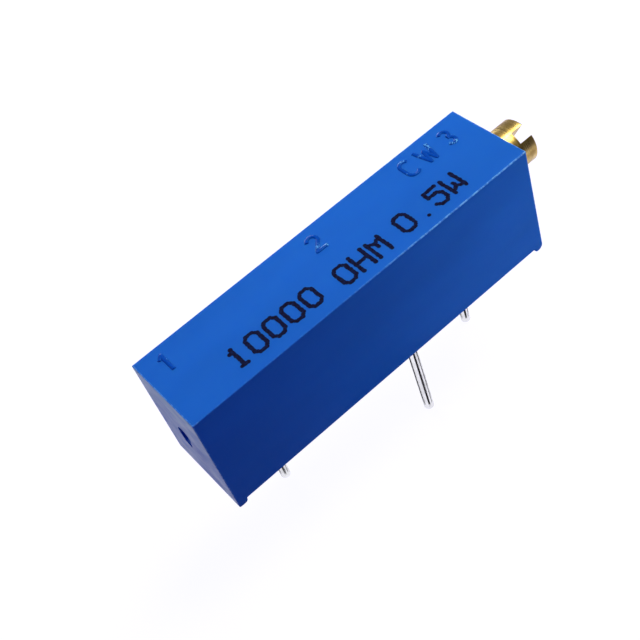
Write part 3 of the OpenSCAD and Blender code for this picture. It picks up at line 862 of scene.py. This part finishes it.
def hollow_out(shell, sizes, screw, top):
    """Cuts the cavity, the screw's two bearings, the retainer's slot and the gate's recess."""
    past = 1.0 * MM
    overlap = 0.01 * MM
    low_x, high_x = BODY_LOW[0], BODY_HIGH[0]
    half = (BODY_HIGH[1] - BODY_LOW[1]) / 2 - sizes.side_wall
    ceiling = top - sizes.roof
    far_in = low_x + sizes.far_boss
    boss_in = high_x - sizes.screw_boss
    axis = (0.0, MID_Y, AXIS_Z)
    combine(
        shell,
        block(
            "open_side",
            (low_x + sizes.end_wall, MID_Y - half, -past),
            (high_x - sizes.end_wall, MID_Y + half, PLATE_TOP),
        ),
        "DIFFERENCE",
    )
    combine(
        shell,
        block("carriage_bay", (far_in, MID_Y - half, PLATE_TOP - overlap), (boss_in, MID_Y + half, ceiling)),
        "DIFFERENCE",
    )
    bore = HEAD_R + sizes.bearing_gap
    mouth = bore + 0.07 * MM
    head_bore = [
        (boss_in - overlap, 0.0),
        (boss_in - overlap, bore),
        (high_x - 0.1 * MM, bore),
        (high_x + 0.02 * MM, mouth),
        (high_x + past, mouth),
        (high_x + past, 0.0),
    ]
    combine(shell, lathe("head_bore", head_bore, axis, segments=128), "DIFFERENCE")
    journal = screw.journal + sizes.bearing_gap
    start = low_x + sizes.end_wall - sizes.seat_gap
    journal_bore = [(start, 0.0), (start, journal), (far_in + overlap, journal), (far_in + overlap, 0.0)]
    combine(shell, lathe("journal_bore", journal_bore, axis, segments=64), "DIFFERENCE")
    gap = sizes.seat_gap
    combine(
        shell,
        block(
            "clip_slot",
            (CLIP_LOW[0] - gap, CLIP_LOW[1] - gap, PLATE_TOP - overlap),
            (CLIP_HIGH[0] + gap, CLIP_HIGH[1] + gap, CLIP_HIGH[2] + gap),
        ),
        "DIFFERENCE",
    )
    face = low_x + sizes.draft / 2
    floor = face + sizes.gate_depth
    r = sizes.gate_width / 2
    recess = [
        (face - past, 0.0),
        (face - past, r + 0.05 * MM),
        (face - 0.02 * MM, r + 0.05 * MM),
        (face + 0.05 * MM, r),
        (floor - 0.03 * MM, r),
        (floor, r - 0.05 * MM),
        (floor - 0.01 * MM, 0.45 * r),
        (floor - 0.11 * MM, 0.38 * r),
        (floor - 0.13 * MM, 0.2 * r),
        (floor - 0.1 * MM, 0.0),
    ]
    gate_place = (0.0, MID_Y, AXIS_Z - sizes.gate_drop)
    combine(shell, lathe("gate_recess", recess, gate_place, segments=48), "DIFFERENCE")

    shape = bmesh.new()
    bmesh.ops.create_icosphere(shape, subdivisions=4, radius=1.0)
    for vert in shape.verts:
        rough = 1.0 + 0.22 * noise.noise(vert.co * 2.3) + 0.1 * noise.noise(vert.co * 6.1)
        vert.co = Vector((0.3 * vert.co.x, 0.27 * vert.co.y, 0.5 * vert.co.z)) * sizes.scar * rough
        vert.co += Vector((face - 0.1 * sizes.scar, MID_Y + 0.1 * sizes.scar, gate_place[2] - 0.22 * sizes.scar))
    combine(shell, as_piece("gate_scar", shape), "DIFFERENCE")


def mark_lines(size):
    """The moulded characters as lines about their own centres, by name."""
    top = size / 2
    bow = 0.24 * size
    small = 0.21 * size
    inset = 0.05 * size
    upper = (0.0, top - small - inset)
    lower = (0.0, small + inset - top)
    half = 0.36 * size
    inner = 0.44 * half
    return {
        "1": [[(-0.19 * size, top - 0.22 * size), (0.0, top), (0.0, -top)]],
        "2": [arc((0.0, top - bow - inset), bow, 165, -32, 14) + [(-bow, inset - top), (bow + inset, inset - top)]],
        "3": [arc(upper, small, 150, -90, 14), arc(lower, small, 90, -150, 14)],
        "C": [arc((0.0, top - 1.1 * bow), 1.1 * bow, 35, 180, 10) + arc((0.0, 1.1 * bow - top), 1.1 * bow, 180, 325, 10)],
        "W": [[(-half, top), (-inner, -top), (0.0, 0.5 * top), (inner, -top), (half, top)]],
    }


def raised_marks(marks, rise, top, material):
    """The terminal numbers and the turning sense as rounded strokes, rooted in the top."""
    glyphs = mark_lines(marks.size)
    middle = (BODY_LOW[0] + BODY_HIGH[0]) / 2
    three = BODY_HIGH[0] - 1.5 * MM
    places = {
        "1": BODY_LOW[0] + 1.25 * MM,
        "2": middle,
        "C": three - 2.38 * MM,
        "W": three - 1.28 * MM,
        "3": three,
    }
    y = BODY_HIGH[1] - marks.margin
    lines = [
        [(places[name] + px, y + py, top) for px, py in line] for name, parts in glyphs.items() for line in parts
    ]
    values = {
        "Material": material,
        "Width": marks.stroke,
        "Thickness": rise,
        "Step": 0.03 * MM,
    }
    return grown("moulded_marks", strokes("mark_lines", lines), stroke_tree(), values)


class TRIMMER_OT_housing(bpy.types.Operator):
    """Builds the moulded body with its feet, bearings, gate and marks"""

    bl_idname = "trimmer.housing"
    bl_label = "Housing"

    def execute(self, context):
        settings = context.scene.trimmer
        sizes = settings.housing
        top = BODY_HIGH[2] - sizes.rise
        plastic = moulded_plastic(settings.finish, sizes, top)
        shell = drafted_body(sizes, top)
        soften(shell, sizes.edge, 4, 25)
        hollow_out(shell, sizes, settings.screw, top)
        marks_shade_and_glints = marks_with_painted_shade_and_glints(settings.finish)
        # The gate end's material carries smeared marks and a painted pale sheen.
        gate_end = moulded_plastic(settings.finish, sizes, top, "gate_end_plastic", 0.1, 0.4)
        marks = raised_marks(settings.marks, sizes.rise, top, marks_shade_and_glints)
        join(shell, [marks], apart=True)
        for face in shell.data.polygons:
            if face.normal.x < -0.6 and face.center.x < BODY_LOW[0] + sizes.draft + sizes.edge:
                face.material_index = 2
        smooth(shell)
        weigh_normals(shell)
        hand_over(shell, "body", plastic, ["housing"], [marks_shade_and_glints, gate_end])
        return {"FINISHED"}


# The rating on the top

DOTS = {
    "0": (".###.", "#...#", "#...#", "#...#", "#...#", "#...#", ".###."),
    "1": ("..#..", ".##..", "..#..", "..#..", "..#..", "..#..", ".###."),
    "5": ("#####", "#....", "####.", "....#", "....#", "#...#", ".###."),
    "O": (".###.", "#...#", "#...#", "#...#", "#...#", "#...#", ".###."),
    "H": ("#...#", "#...#", "#...#", "#####", "#...#", "#...#", "#...#"),
    "M": ("#...#", "##.##", "#.#.#", "#.#.#", "#...#", "#...#", "#...#"),
    "W": ("#...#", "#...#", "#...#", "#.#.#", "#.#.#", "##.##", "#...#"),
    ".": (".....", ".....", ".....", ".....", ".....", ".....", "..#.."),
}


def fused_dots(rows):
    """The dots of a character as (column, row), with one more halfway between neighbours."""
    cells = {(column, row) for row, line in enumerate(rows) for column, cell in enumerate(line) if cell == "#"}
    for column, row in sorted(cells):
        yield column, row
        for step_x, step_y in ((1, 0), (0, 1), (1, 1), (-1, 1)):
            corners = {(column + step_x, row), (column, row + step_y)}
            beside = (column + step_x, row + step_y) in cells
            if beside and (0 in (step_x, step_y) or not corners & cells):
                yield column + step_x / 2, row + step_y / 2


class TRIMMER_OT_rating(bpy.types.Operator):
    """Prints a plain rating on the top in dots of ink"""

    bl_idname = "trimmer.rating"
    bl_label = "Rating print"

    def execute(self, context):
        settings = context.scene.trimmer
        rating = settings.rating
        top = BODY_HIGH[2] - settings.housing.rise
        starts = ((3.0 * MM, 1.0 * MM, -1.0 * MM), (8.78 * MM, 0.97 * MM, -1.2 * MM), (12.35 * MM, 0.97 * MM, -1.08 * MM))
        places = []
        for word, (start, pitch, middle) in zip(rating.words.split(), starts):
            for index, letter in enumerate(word):
                x = BODY_LOW[0] + start + index * pitch + rating.dot / 2
                y = MID_Y + middle + 3 * rating.row
                for column, row in fused_dots(DOTS[letter]):
                    places.append((x + column * rating.column, y - row * rating.row, top))
        points = bpy.data.meshes.new("rating_points")
        points.from_pydata(places, [], [])
        source = bpy.data.objects.new("rating_points", points)
        context.scene.collection.objects.link(source)
        values = {
            "Material": printing_ink(settings.finish),
            "Dot": rating.dot,
            "Thickness": rating.film,
            "Wander": rating.wander,
        }
        ink = grown("rating_print", source, dot_tree(), values)
        smooth(ink, 40)
        hand_over(ink, "body", values["Material"])
        return {"FINISHED"}


# The adjusting screw


class TRIMMER_OT_screw(bpy.types.Operator):
    """Turns the adjusting screw with its slot, grooves and lead thread"""

    bl_idname = "trimmer.screw"
    bl_label = "Adjusting screw"

    def execute(self, context):
        settings = context.scene.trimmer
        sizes = settings.screw
        brass = turned_brass(settings.finish)
        axis = (0.0, MID_Y, AXIS_Z)
        tip, end = SCREW_HIGH[0], SCREW_LOW[0]
        groove = BODY_HIGH[0] - sizes.shoulder
        flange = groove - sizes.ring_width
        clip = flange - sizes.flange
        clip_end = clip - sizes.clip_width
        shank = clip_end - sizes.flange
        journal = end + sizes.journal_length
        profile = [
            (tip, 0.0),
            (tip, HEAD_R - sizes.bevel),
            (tip - sizes.bevel, HEAD_R),
            (groove, HEAD_R),
            (groove, sizes.ring_groove),
            (flange, sizes.ring_groove),
            (flange, HEAD_R),
            (clip, HEAD_R),
            (clip, sizes.clip_groove),
            (clip_end, sizes.clip_groove),
            (clip_end, HEAD_R),
            (shank, HEAD_R),
            (shank, sizes.core),
            (journal, sizes.core),
            (journal, sizes.journal),
            (end, sizes.journal),
            (end, 0.0),
        ]
        piece = lathe("adjusting_screw_turned", profile, axis)
        cutter = block(
            "driver_slot",
            (tip - sizes.slot_depth, -HEAD_R * 2, -sizes.slot_width / 2),
            (tip + 1.0 * MM, HEAD_R * 2, sizes.slot_width / 2),
        )
        cutter.data.transform(Matrix.Translation(axis) @ Matrix.Rotation(sizes.slot_turn, 4, "X"))
        combine(piece, cutter, "DIFFERENCE")
        soften(piece, 0.02 * MM, 2, 40)

        run = shank - journal - 2 * sizes.pitch
        seed = block("thread_seed", (0.0, 0.0, 0.0), (0.1 * MM, 0.1 * MM, 0.1 * MM))
        values = {"Material": brass, "Core": sizes.core, "Crest": sizes.thread, "Pitch": sizes.pitch, "Length": run}
        thread = grown("lead_thread", seed, thread_tree(), values)
        thread.data.transform(
            Matrix.Translation((journal + sizes.pitch, MID_Y, AXIS_Z)) @ Matrix.Rotation(math.pi / 2, 4, "Y")
        )
        join(piece, [thread])
        smooth(piece, 35)
        hand_over(piece, "screw", brass, ["adjusting_screw"])
        return {"FINISHED"}


class TRIMMER_OT_seal_ring(bpy.types.Operator):
    """Puts the rubber ring in the screw's groove"""

    bl_idname = "trimmer.seal_ring"
    bl_label = "Seal ring"

    def execute(self, context):
        finish = context.scene.trimmer.finish
        section = (RING_HIGH[0] - RING_LOW[0]) / 2
        outer = (RING_HIGH[2] - RING_LOW[2]) / 2
        profile = arc(((RING_LOW[0] + RING_HIGH[0]) / 2, outer - section), section, 0, 345, 23)
        ring = lathe("shaft_seal_ring_moulded", profile, (0.0, MID_Y, AXIS_Z), segments=72, closed=True)
        smooth(ring)
        rubber = speckled("seal_rubber", tuple(finish.rubber), 0.6, 0.05, 0.3, 0.003, specular=0.3)
        hand_over(ring, "screw", rubber, ["shaft_seal_ring"])
        return {"FINISHED"}


# The terminals and what holds them


class TRIMMER_OT_terminals(bpy.types.Operator):
    """Makes the three pins and the solder at their upper ends"""

    bl_idname = "trimmer.terminals"
    bl_label = "Terminals"

    def execute(self, context):
        settings = context.scene.trimmer
        sizes = settings.terminals
        tin = tinned_wire(settings.finish)
        solder = speckled("reflowed_solder", tuple(settings.finish.solder), 0.24, 0.12, 0.15, 0.006, metallic=1.0)
        seal = SEAL_LOW[2]
        for pin in PINS:
            low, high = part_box(pin)
            centre = ((low[0] + high[0]) / 2, (low[1] + high[1]) / 2, 0.0)
            profile = [
                (low[2], 0.0),
                (low[2], sizes.radius - sizes.bevel),
                (low[2] + sizes.bevel, sizes.radius),
                (seal, sizes.radius),
                (seal, sizes.collar),
                (seal + sizes.collar_height, sizes.collar),
                (seal + sizes.collar_height, sizes.neck),
                (high[2], sizes.neck),
                (high[2], 0.0),
            ]
            wire = lathe(pin + "_drawn", profile, centre, axis=2, segments=64)
            soften(wire, 0.02 * MM, 2, 25)
            smooth(wire, 35)
            hand_over(wire, "body", tin, [pin])

            joint = pin.replace("terminal_pin", "solder_joint")
            foot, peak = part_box(joint)[0][2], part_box(joint)[1][2]
            rise = peak - foot
            flank = []
            for step in range(9):
                share = step / 8
                flank.append((foot + rise * share, sizes.neck + (sizes.solder - sizes.neck) * (1.0 - share) ** 2.2))
            flank = [(foot, sizes.neck * 0.9)] + flank + [(peak, sizes.neck * 0.9)]
            cone = lathe(joint + "_reflowed", flank, centre, axis=2, segments=48, closed=True)
            smooth(cone, 50)
            hand_over(cone, "body", solder, [joint])
        return {"FINISHED"}


class TRIMMER_OT_base_seal(bpy.types.Operator):
    """Casts the resin between the walls, creeping up the walls and the pins"""

    bl_idname = "trimmer.base_seal"
    bl_label = "Base seal"

    def execute(self, context):
        settings = context.scene.trimmer
        sizes = settings.terminals
        low, high = SEAL_LOW, SEAL_HIGH
        columns = 220
        rows = 46
        pins = []
        for pin in PINS:
            corner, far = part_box(pin)
            pins.append(((corner[0] + far[0]) / 2, (corner[1] + far[1]) / 2))

        def surface(x, y):
            """Height of the open surface: it sinks between the walls and creeps along the pins."""
            wall = min(x - low[0], high[0] - x, y - low[1], high[1] - y)
            sunk = sizes.hollow * (1.0 - math.exp(-wall / (0.25 * MM)))
            wave = 0.008 * MM * (math.sin(x / (1.1 * MM)) + math.sin(y / (0.7 * MM) + x / (2.3 * MM)))
            creep = 0.0
            for px, py in pins:
                away = max(0.0, math.hypot(x - px, y - py) - sizes.radius)
                creep = max(creep, sizes.creep * math.exp(-away / (0.12 * MM)))
            return low[2] + sunk + wave * min(1.0, wall / (0.3 * MM)) - creep

        shape = bmesh.new()
        grid = []
        for row in range(rows + 1):
            y = low[1] + (high[1] - low[1]) * row / rows
            line = []
            for column in range(columns + 1):
                x = low[0] + (high[0] - low[0]) * column / columns
                line.append(shape.verts.new((x, y, surface(x, y))))
            grid.append(line)
        for row in range(rows):
            for column in range(columns):
                shape.faces.new(
                    (grid[row][column], grid[row][column + 1], grid[row + 1][column + 1], grid[row + 1][column])
                )
        edges = [edge for edge in shape.edges if edge.is_boundary]
        walls = bmesh.ops.extrude_edge_only(shape, edges=edges)
        rim = [item for item in walls["geom"] if isinstance(item, bmesh.types.BMVert)]
        for vert in rim:
            vert.co.z = high[2]
        bmesh.ops.contextual_create(shape, geom=[edge for edge in shape.edges if edge.is_boundary])
        seal = as_piece("base_seal_cast", shape)
        smooth(seal, 50)
        hand_over(seal, "body", cast_resin(settings.finish), ["base_seal"])
        return {"FINISHED"}


# The inner pieces


class TRIMMER_OT_carriage(bpy.types.Operator):
    """Moulds the carriage with its bore, reliefs and staked pegs"""

    bl_idname = "trimmer.carriage"
    bl_label = "Carriage"

    def execute(self, context):
        settings = context.scene.trimmer
        sizes = settings.inner
        low = Vector(CARRIAGE_LOW)
        high = Vector(CARRIAGE_HIGH)
        under = WIPER_HIGH[2]
        low.z = under
        piece = block("carriage_moulded", low, high)
        soften(piece, sizes.edge, 3)
        past = 0.5 * MM
        chamfer = 0.06 * MM
        bore = [
            (low.x - past, 0.0),
            (low.x - past, sizes.bore + chamfer),
            (low.x, sizes.bore + chamfer),
            (low.x + chamfer, sizes.bore),
            (high.x - chamfer, sizes.bore),
            (high.x, sizes.bore + chamfer),
            (high.x + past, sizes.bore + chamfer),
            (high.x + past, 0.0),
        ]
        combine(piece, lathe("carriage_bore", bore, (0.0, MID_Y, AXIS_Z), segments=64), "DIFFERENCE")
        for side in (low.y, high.y):
            cutter = block(
                "relief",
                (low.x + sizes.guide, side - sizes.relief, low.z + sizes.guide),
                (high.x - sizes.guide, side + sizes.relief, high.z - sizes.guide),
            )
            combine(piece, cutter, "DIFFERENCE")
        pegs = []
        place_x = (low.x + high.x) / 2 - sizes.peg_back
        bottom = CARRIAGE_LOW[2]
        sheet = WIPER_HIGH[2] - sizes.sheet
        for side in (-0.5, 0.5):
            centre = (place_x, MID_Y + side * sizes.track_gap, 0.0)
            dome = arc((sheet, 0.0), 1.0, 180, 90, 6)
            peg = [(sheet + (x - sheet) * (sheet - bottom), r * sizes.peg_head) for x, r in dome]
            peg[0] = (bottom, 0.0)
            peg += [(sheet, sizes.peg), (under + 0.1 * MM, sizes.peg), (under + 0.1 * MM, 0.0)]
            pegs.append(lathe("peg", peg, centre, axis=2, segments=32))
        join(piece, pegs)
        smooth(piece, 40)
        nylon = speckled("moulded_nylon", tuple(settings.finish.nylon), 0.42, 0.12, 0.06, 0.004, specular=0.4)
        hand_over(piece, "carriage", nylon, ["carriage"])
        return {"FINISHED"}


class TRIMMER_OT_wiper(bpy.types.Operator):
    """Stamps the wiper: a plate with three sprung fingers for each track"""

    bl_idname = "trimmer.wiper"
    bl_label = "Wiper"

    def execute(self, context):
        settings = context.scene.trimmer
        sizes = settings.inner
        alloy = speckled(
            "spring_alloy", tuple(settings.finish.alloy), 0.26, 0.05, 0.1, 0.002, metallic=1.0, stretch=(12.0, 1.0, 1.0)
        )
        top = WIPER_HIGH[2]
        half = sizes.sheet / 2
        knuckle = 1.5 * sizes.sheet - half
        reach_x = WIPER_HIGH[0] - 1.5 * sizes.sheet
        knuckle_z = WIPER_LOW[2] + 1.5 * sizes.sheet + 0.01 * MM
        root = (WIPER_LOW[0] + sizes.plate - 0.1 * MM, top - half)
        slope = math.degrees(math.atan2(root[1] - knuckle_z, root[0] - reach_x))
        bent = arc((reach_x, knuckle_z), knuckle, slope + 70, 385, 12)
        line = [root, (root[0] + 0.12 * MM, root[1] - 0.01 * MM)] + bent
        path = strokes("finger_line", [[(x, MID_Y, z) for x, z in line]])
        values = {
            "Material": alloy,
            "Finger width": sizes.finger,
            "Sheet": sizes.sheet,
            "Finger pitch": sizes.finger_pitch,
            "Track gap": sizes.track_gap,
        }
        fingers = grown("wiper_stamped", path, finger_tree(), values)
        plate = block("wiper_plate", WIPER_LOW, (WIPER_LOW[0] + sizes.plate, WIPER_HIGH[1], top))
        for vert in plate.data.vertices:
            vert.co.z = max(vert.co.z, top - sizes.sheet)
        soften(plate, 0.015 * MM, 2)
        join(fingers, [plate])
        smooth(fingers, 40)
        hand_over(fingers, "carriage", alloy, ["wiper_spring"])
        return {"FINISHED"}


class TRIMMER_OT_retainer(bpy.types.Operator):
    """Stamps the U-shaped clip that holds the screw"""

    bl_idname = "trimmer.retainer"
    bl_label = "Retainer"

    def execute(self, context):
        settings = context.scene.trimmer
        gap = settings.inner.clip_gap
        low, high = CLIP_LOW, CLIP_HIGH
        opening = arc((MID_Y, AXIS_Z), gap, 180, 360, 24)
        outline = (
            [(low[1], low[2]), (high[1], low[2]), (high[1], high[2]), (MID_Y + gap, high[2])]
            + opening[::-1]
            + [(MID_Y - gap, high[2]), (low[1], high[2])]
        )
        clip = extruded("screw_retainer_stamped", outline, low[0], high[0], 0)
        soften(clip, 0.03 * MM, 2, 40)
        smooth(clip, 35)
        steel = speckled(
            "stamped_steel", tuple(settings.finish.steel), 0.3, 0.06, 0.1, 0.003, metallic=1.0, stretch=(1.0, 1.0, 10.0)
        )
        hand_over(clip, "body", steel, ["screw_retainer"])
        return {"FINISHED"}


class TRIMMER_OT_element(bpy.types.Operator):
    """Paints the ceramic plate and the films that are printed on it"""

    bl_idname = "trimmer.element"
    bl_label = "Element"

    def execute(self, context):
        finish = context.scene.trimmer.finish
        alumina = speckled("fired_alumina", tuple(finish.alumina), 0.6, 0.06, 0.05, 0.003, specular=0.4)
        cermet = speckled("fired_cermet", tuple(finish.cermet), 0.45, 0.03, 0.5, 0.002)
        silver = speckled("fired_silver", tuple(finish.silver), 0.36, 0.04, 0.12, 0.002, metallic=1.0)
        painted = {
            "element_substrate": alumina,
            "resistive_track": cermet,
            "collector_track": silver,
            "end_pad_1": silver,
            "end_pad_3": silver,
        }
        for name, material in painted.items():
            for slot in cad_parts[name].material_slots:
                slot.material = material
        return {"FINISHED"}


# The stage


def paper_floor(stage, floor_z):
    """Pale paper, lifted to white where it is seen; in mirrors the lift fades with distance."""
    made, tree, shader, place = new_finish("floor_paper", tuple(stage.floor), 0.9, specular=0.0)
    fibre = grain(tree, place, 3.0, 4.0)
    shade = tuple(stage.floor)
    tree.links.new(blend(tree, fibre, tinted(shade, 0.995), shade), shader.inputs["Base Color"])
    shader.inputs["Emission Color"].default_value = (1.0, 1.0, 1.0, 1.0)
    path = add_node(tree, "ShaderNodeLightPath").outputs
    away = add_node(
        tree, "ShaderNodeVectorMath", {0: place, 1: (6.0 * MM, MID_Y, floor_z)}, operation="DISTANCE"
    ).outputs["Value"]
    mirrored = maths(tree, "MULTIPLY", path["Is Glossy Ray"], spread(tree, away, 1.0, 0.1, 24 * MM, 64 * MM))
    shown = maths(tree, "MAXIMUM", maths(tree, "MAXIMUM", path["Is Camera Ray"], mirrored), path["Is Transmission Ray"])
    tree.links.new(maths(tree, "MULTIPLY", shown, stage.glow), shader.inputs["Emission Strength"])
    return made


def studio_world(stage):
    """White to the camera, a grey room to mirrors, lighter behind the object, and dim to the rest."""
    world = bpy.data.worlds.new("studio")
    world.use_nodes = True
    tree = world.node_tree
    path = add_node(tree, "ShaderNodeLightPath").outputs
    toward = add_node(tree, "ShaderNodeTexCoord").outputs["Generated"]
    behind = add_node(tree, "ShaderNodeSeparateXYZ", {0: toward}).outputs["Y"]
    shine = spread(tree, behind, stage.shine_front, stage.shine_back, -0.6, 0.4)
    strength = add_node(tree, "ShaderNodeMix", {0: path["Is Glossy Ray"], 2: stage.dome, 3: shine}).outputs[0]
    strength = add_node(tree, "ShaderNodeMix", {0: path["Is Camera Ray"], 2: strength, 3: 1.0}).outputs[0]
    shade = blend(tree, path["Is Glossy Ray"], tuple(stage.dome_tint), tuple(stage.shine_tint))
    shade = blend(tree, path["Is Camera Ray"], shade, (1.0, 1.0, 1.0))
    background = tree.nodes["Background"]
    tree.links.new(shade, background.inputs["Color"])
    tree.links.new(strength, background.inputs["Strength"])
    return world


def softbox(name, place, target, width, height, brightness, tint=(1.0, 1.0, 1.0)):
    """A rectangular lamp; its brightness is that of its face, where 1 is white."""
    lamp = bpy.data.lights.new(name, "AREA")
    lamp.color = tint
    lamp.shape = "RECTANGLE"
    lamp.size = width
    lamp.size_y = height
    lamp.energy = brightness * math.pi * width * height
    source = bpy.data.objects.new(name, lamp)
    bpy.context.scene.collection.objects.link(source)
    source.location = place
    source.rotation_euler = (Vector(target) - Vector(place)).to_track_quat("-Z", "Y").to_euler()
    source.visible_camera = False
    return source


def pin_flags(view, floor_z):
    """Dark wedges on the floor around each pin, which only the pins' mirror images show: a painted reflection of dark
    stripes on the pins.

    Each wedge is given by where its image begins and ends across a pin, from -1 at its left
    edge to 1 at its right edge as the camera sees it.
    """
    shape = bmesh.new()
    facing = math.atan2(-view.y, -view.x)
    for pin in PINS:
        low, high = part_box(pin)
        centre = Vector(((low[0] + high[0]) / 2, (low[1] + high[1]) / 2, floor_z + 0.01 * MM))
        for start, end in ((-0.99, -0.88), (-0.1, 0.48), (0.84, 0.94)):
            near, far = [], []
            for step in range(5):
                across = start + (end - start) * step / 4
                angle = facing + math.asin(across)
                normal = Vector((math.cos(angle), math.sin(angle), 0.0))
                mirrored = view.reflect(normal)
                edge = centre + normal * (high[0] - low[0]) / 2
                along = Vector((mirrored.x, mirrored.y, 0.0)) / -mirrored.z
                near.append(shape.verts.new(edge + along * 0.02 * MM))
                far.append(shape.verts.new(edge + along * 7.0 * MM))
            for step in range(4):
                shape.faces.new((near[step], near[step + 1], far[step + 1], far[step]))
    flags = as_piece("pin_flags", shape)
    # Painted reflection: the wedges are dark only so that the pins mirror dark stripes; no camera, bounce or shadow ray
    # sees them.
    reflection_card, tree, shader, place = new_finish("pin_reflection_card", (0.01, 0.01, 0.01), 1.0, specular=0.0)
    flags.data.materials.append(reflection_card)
    flags.visible_camera = False
    flags.visible_diffuse = False
    flags.visible_shadow = False
    return flags


class TRIMMER_OT_stage(bpy.types.Operator):
    """Sets the floor, the room, the lamps and the camera"""

    bl_idname = "trimmer.stage"
    bl_label = "Stage"

    def execute(self, context):
        scene = context.scene
        stage = scene.trimmer.stage
        reach = 400 * MM
        floor_z = CAD_BOX[0][2]
        middle = Vector((6.0 * MM, MID_Y, 2.0 * MM))
        shape = bmesh.new()
        bmesh.ops.create_grid(shape, x_segments=stage.floor_steps, y_segments=stage.floor_steps, size=reach)
        bmesh.ops.translate(shape, vec=(middle.x, middle.y, floor_z), verts=shape.verts)
        floor = as_piece("floor", shape)
        for face in floor.data.polygons:
            if face.normal.z < 0:
                face.flip()
        floor.data.materials.append(paper_floor(stage, floor_z))
        scene.world = studio_world(stage)

        over = middle + Vector((85, 0, 150)) * MM
        softbox("key_overhead", over, middle, 100 * MM, 100 * MM, stage.key, tuple(stage.key_tint))
        aside = Vector((18, -20, 2)) * MM
        facing = Vector((14 * MM, MID_Y, 3 * MM))
        fill = softbox("fill_side", aside, facing, 10 * MM, 8 * MM, stage.fill, (1.0, 1.0, 0.8))
        fill.visible_glossy = False
        softbox("fill_left", middle + Vector((-90, 50, 40)) * MM, middle, 40 * MM, 40 * MM, stage.left)
        behind = Vector((21 * MM, MID_Y + 75 * MM, 17 * MM))
        softbox("strip_back", behind, Vector((21 * MM, MID_Y, AXIS_Z)), 54 * MM, 30 * MM, stage.back)

        camera = bpy.data.objects.new("camera", bpy.data.cameras.new("camera"))
        scene.collection.objects.link(camera)
        camera.data.lens = stage.lens
        camera.data.sensor_width = 36
        camera.data.clip_start = 1 * MM
        camera.data.clip_end = 10
        heading = math.radians(-22.66)
        tilt = math.radians(41.4)
        roll = math.radians(-22.18)
        eye = Vector((-8.333, -31.675, 40.936)) * MM
        camera.matrix_world = (
            Matrix.Translation(eye)
            @ Matrix.Rotation(heading, 4, "Z")
            @ Matrix.Rotation(tilt, 4, "X")
            @ Matrix.Rotation(roll, 4, "Z")
        )
        scene.camera = camera
        flags = pin_flags((Vector((8.0 * MM, MID_Y, -3.0 * MM)) - eye).normalized(), floor_z)
        scene.view_settings.view_transform = "Standard"
        return {"FINISHED"}


OPERATORS = (
    TRIMMER_OT_stage,
    TRIMMER_OT_housing,
    TRIMMER_OT_rating,
    TRIMMER_OT_screw,
    TRIMMER_OT_seal_ring,
    TRIMMER_OT_terminals,
    TRIMMER_OT_base_seal,
    TRIMMER_OT_carriage,
    TRIMMER_OT_wiper,
    TRIMMER_OT_retainer,
    TRIMMER_OT_element,
)


class TRIMMER_PT_pieces(bpy.types.Panel):
    """Lists the sizes and the pieces in the sidebar"""

    bl_idname = "TRIMMER_PT_pieces"
    bl_label = "Trimmer"
    bl_space_type = "VIEW_3D"
    bl_region_type = "UI"
    bl_category = "Trimmer"

    def draw(self, context):
        for operator in OPERATORS:
            self.layout.operator(operator.bl_idname)
        for name, group in GROUPS:
            box = self.layout.box()
            box.label(text=name.capitalize())
            for key in group.__annotations__:
                box.prop(getattr(context.scene.trimmer, name), key)


CLASSES = tuple(group for _, group in GROUPS) + (TrimmerSettings,) + OPERATORS + (TRIMMER_PT_pieces,)


def register():
    for kind in CLASSES:
        bpy.utils.register_class(kind)
    bpy.types.Scene.trimmer = PointerProperty(type=TrimmerSettings)


def unregister():
    del bpy.types.Scene.trimmer
    for kind in reversed(CLASSES):
        bpy.utils.unregister_class(kind)


def main():
    """Builds every piece."""
    register()
    for operator in OPERATORS:
        group, name = operator.bl_idname.split(".")
        getattr(getattr(bpy.ops, group), name)()


if __name__ == "__main__":
    main()
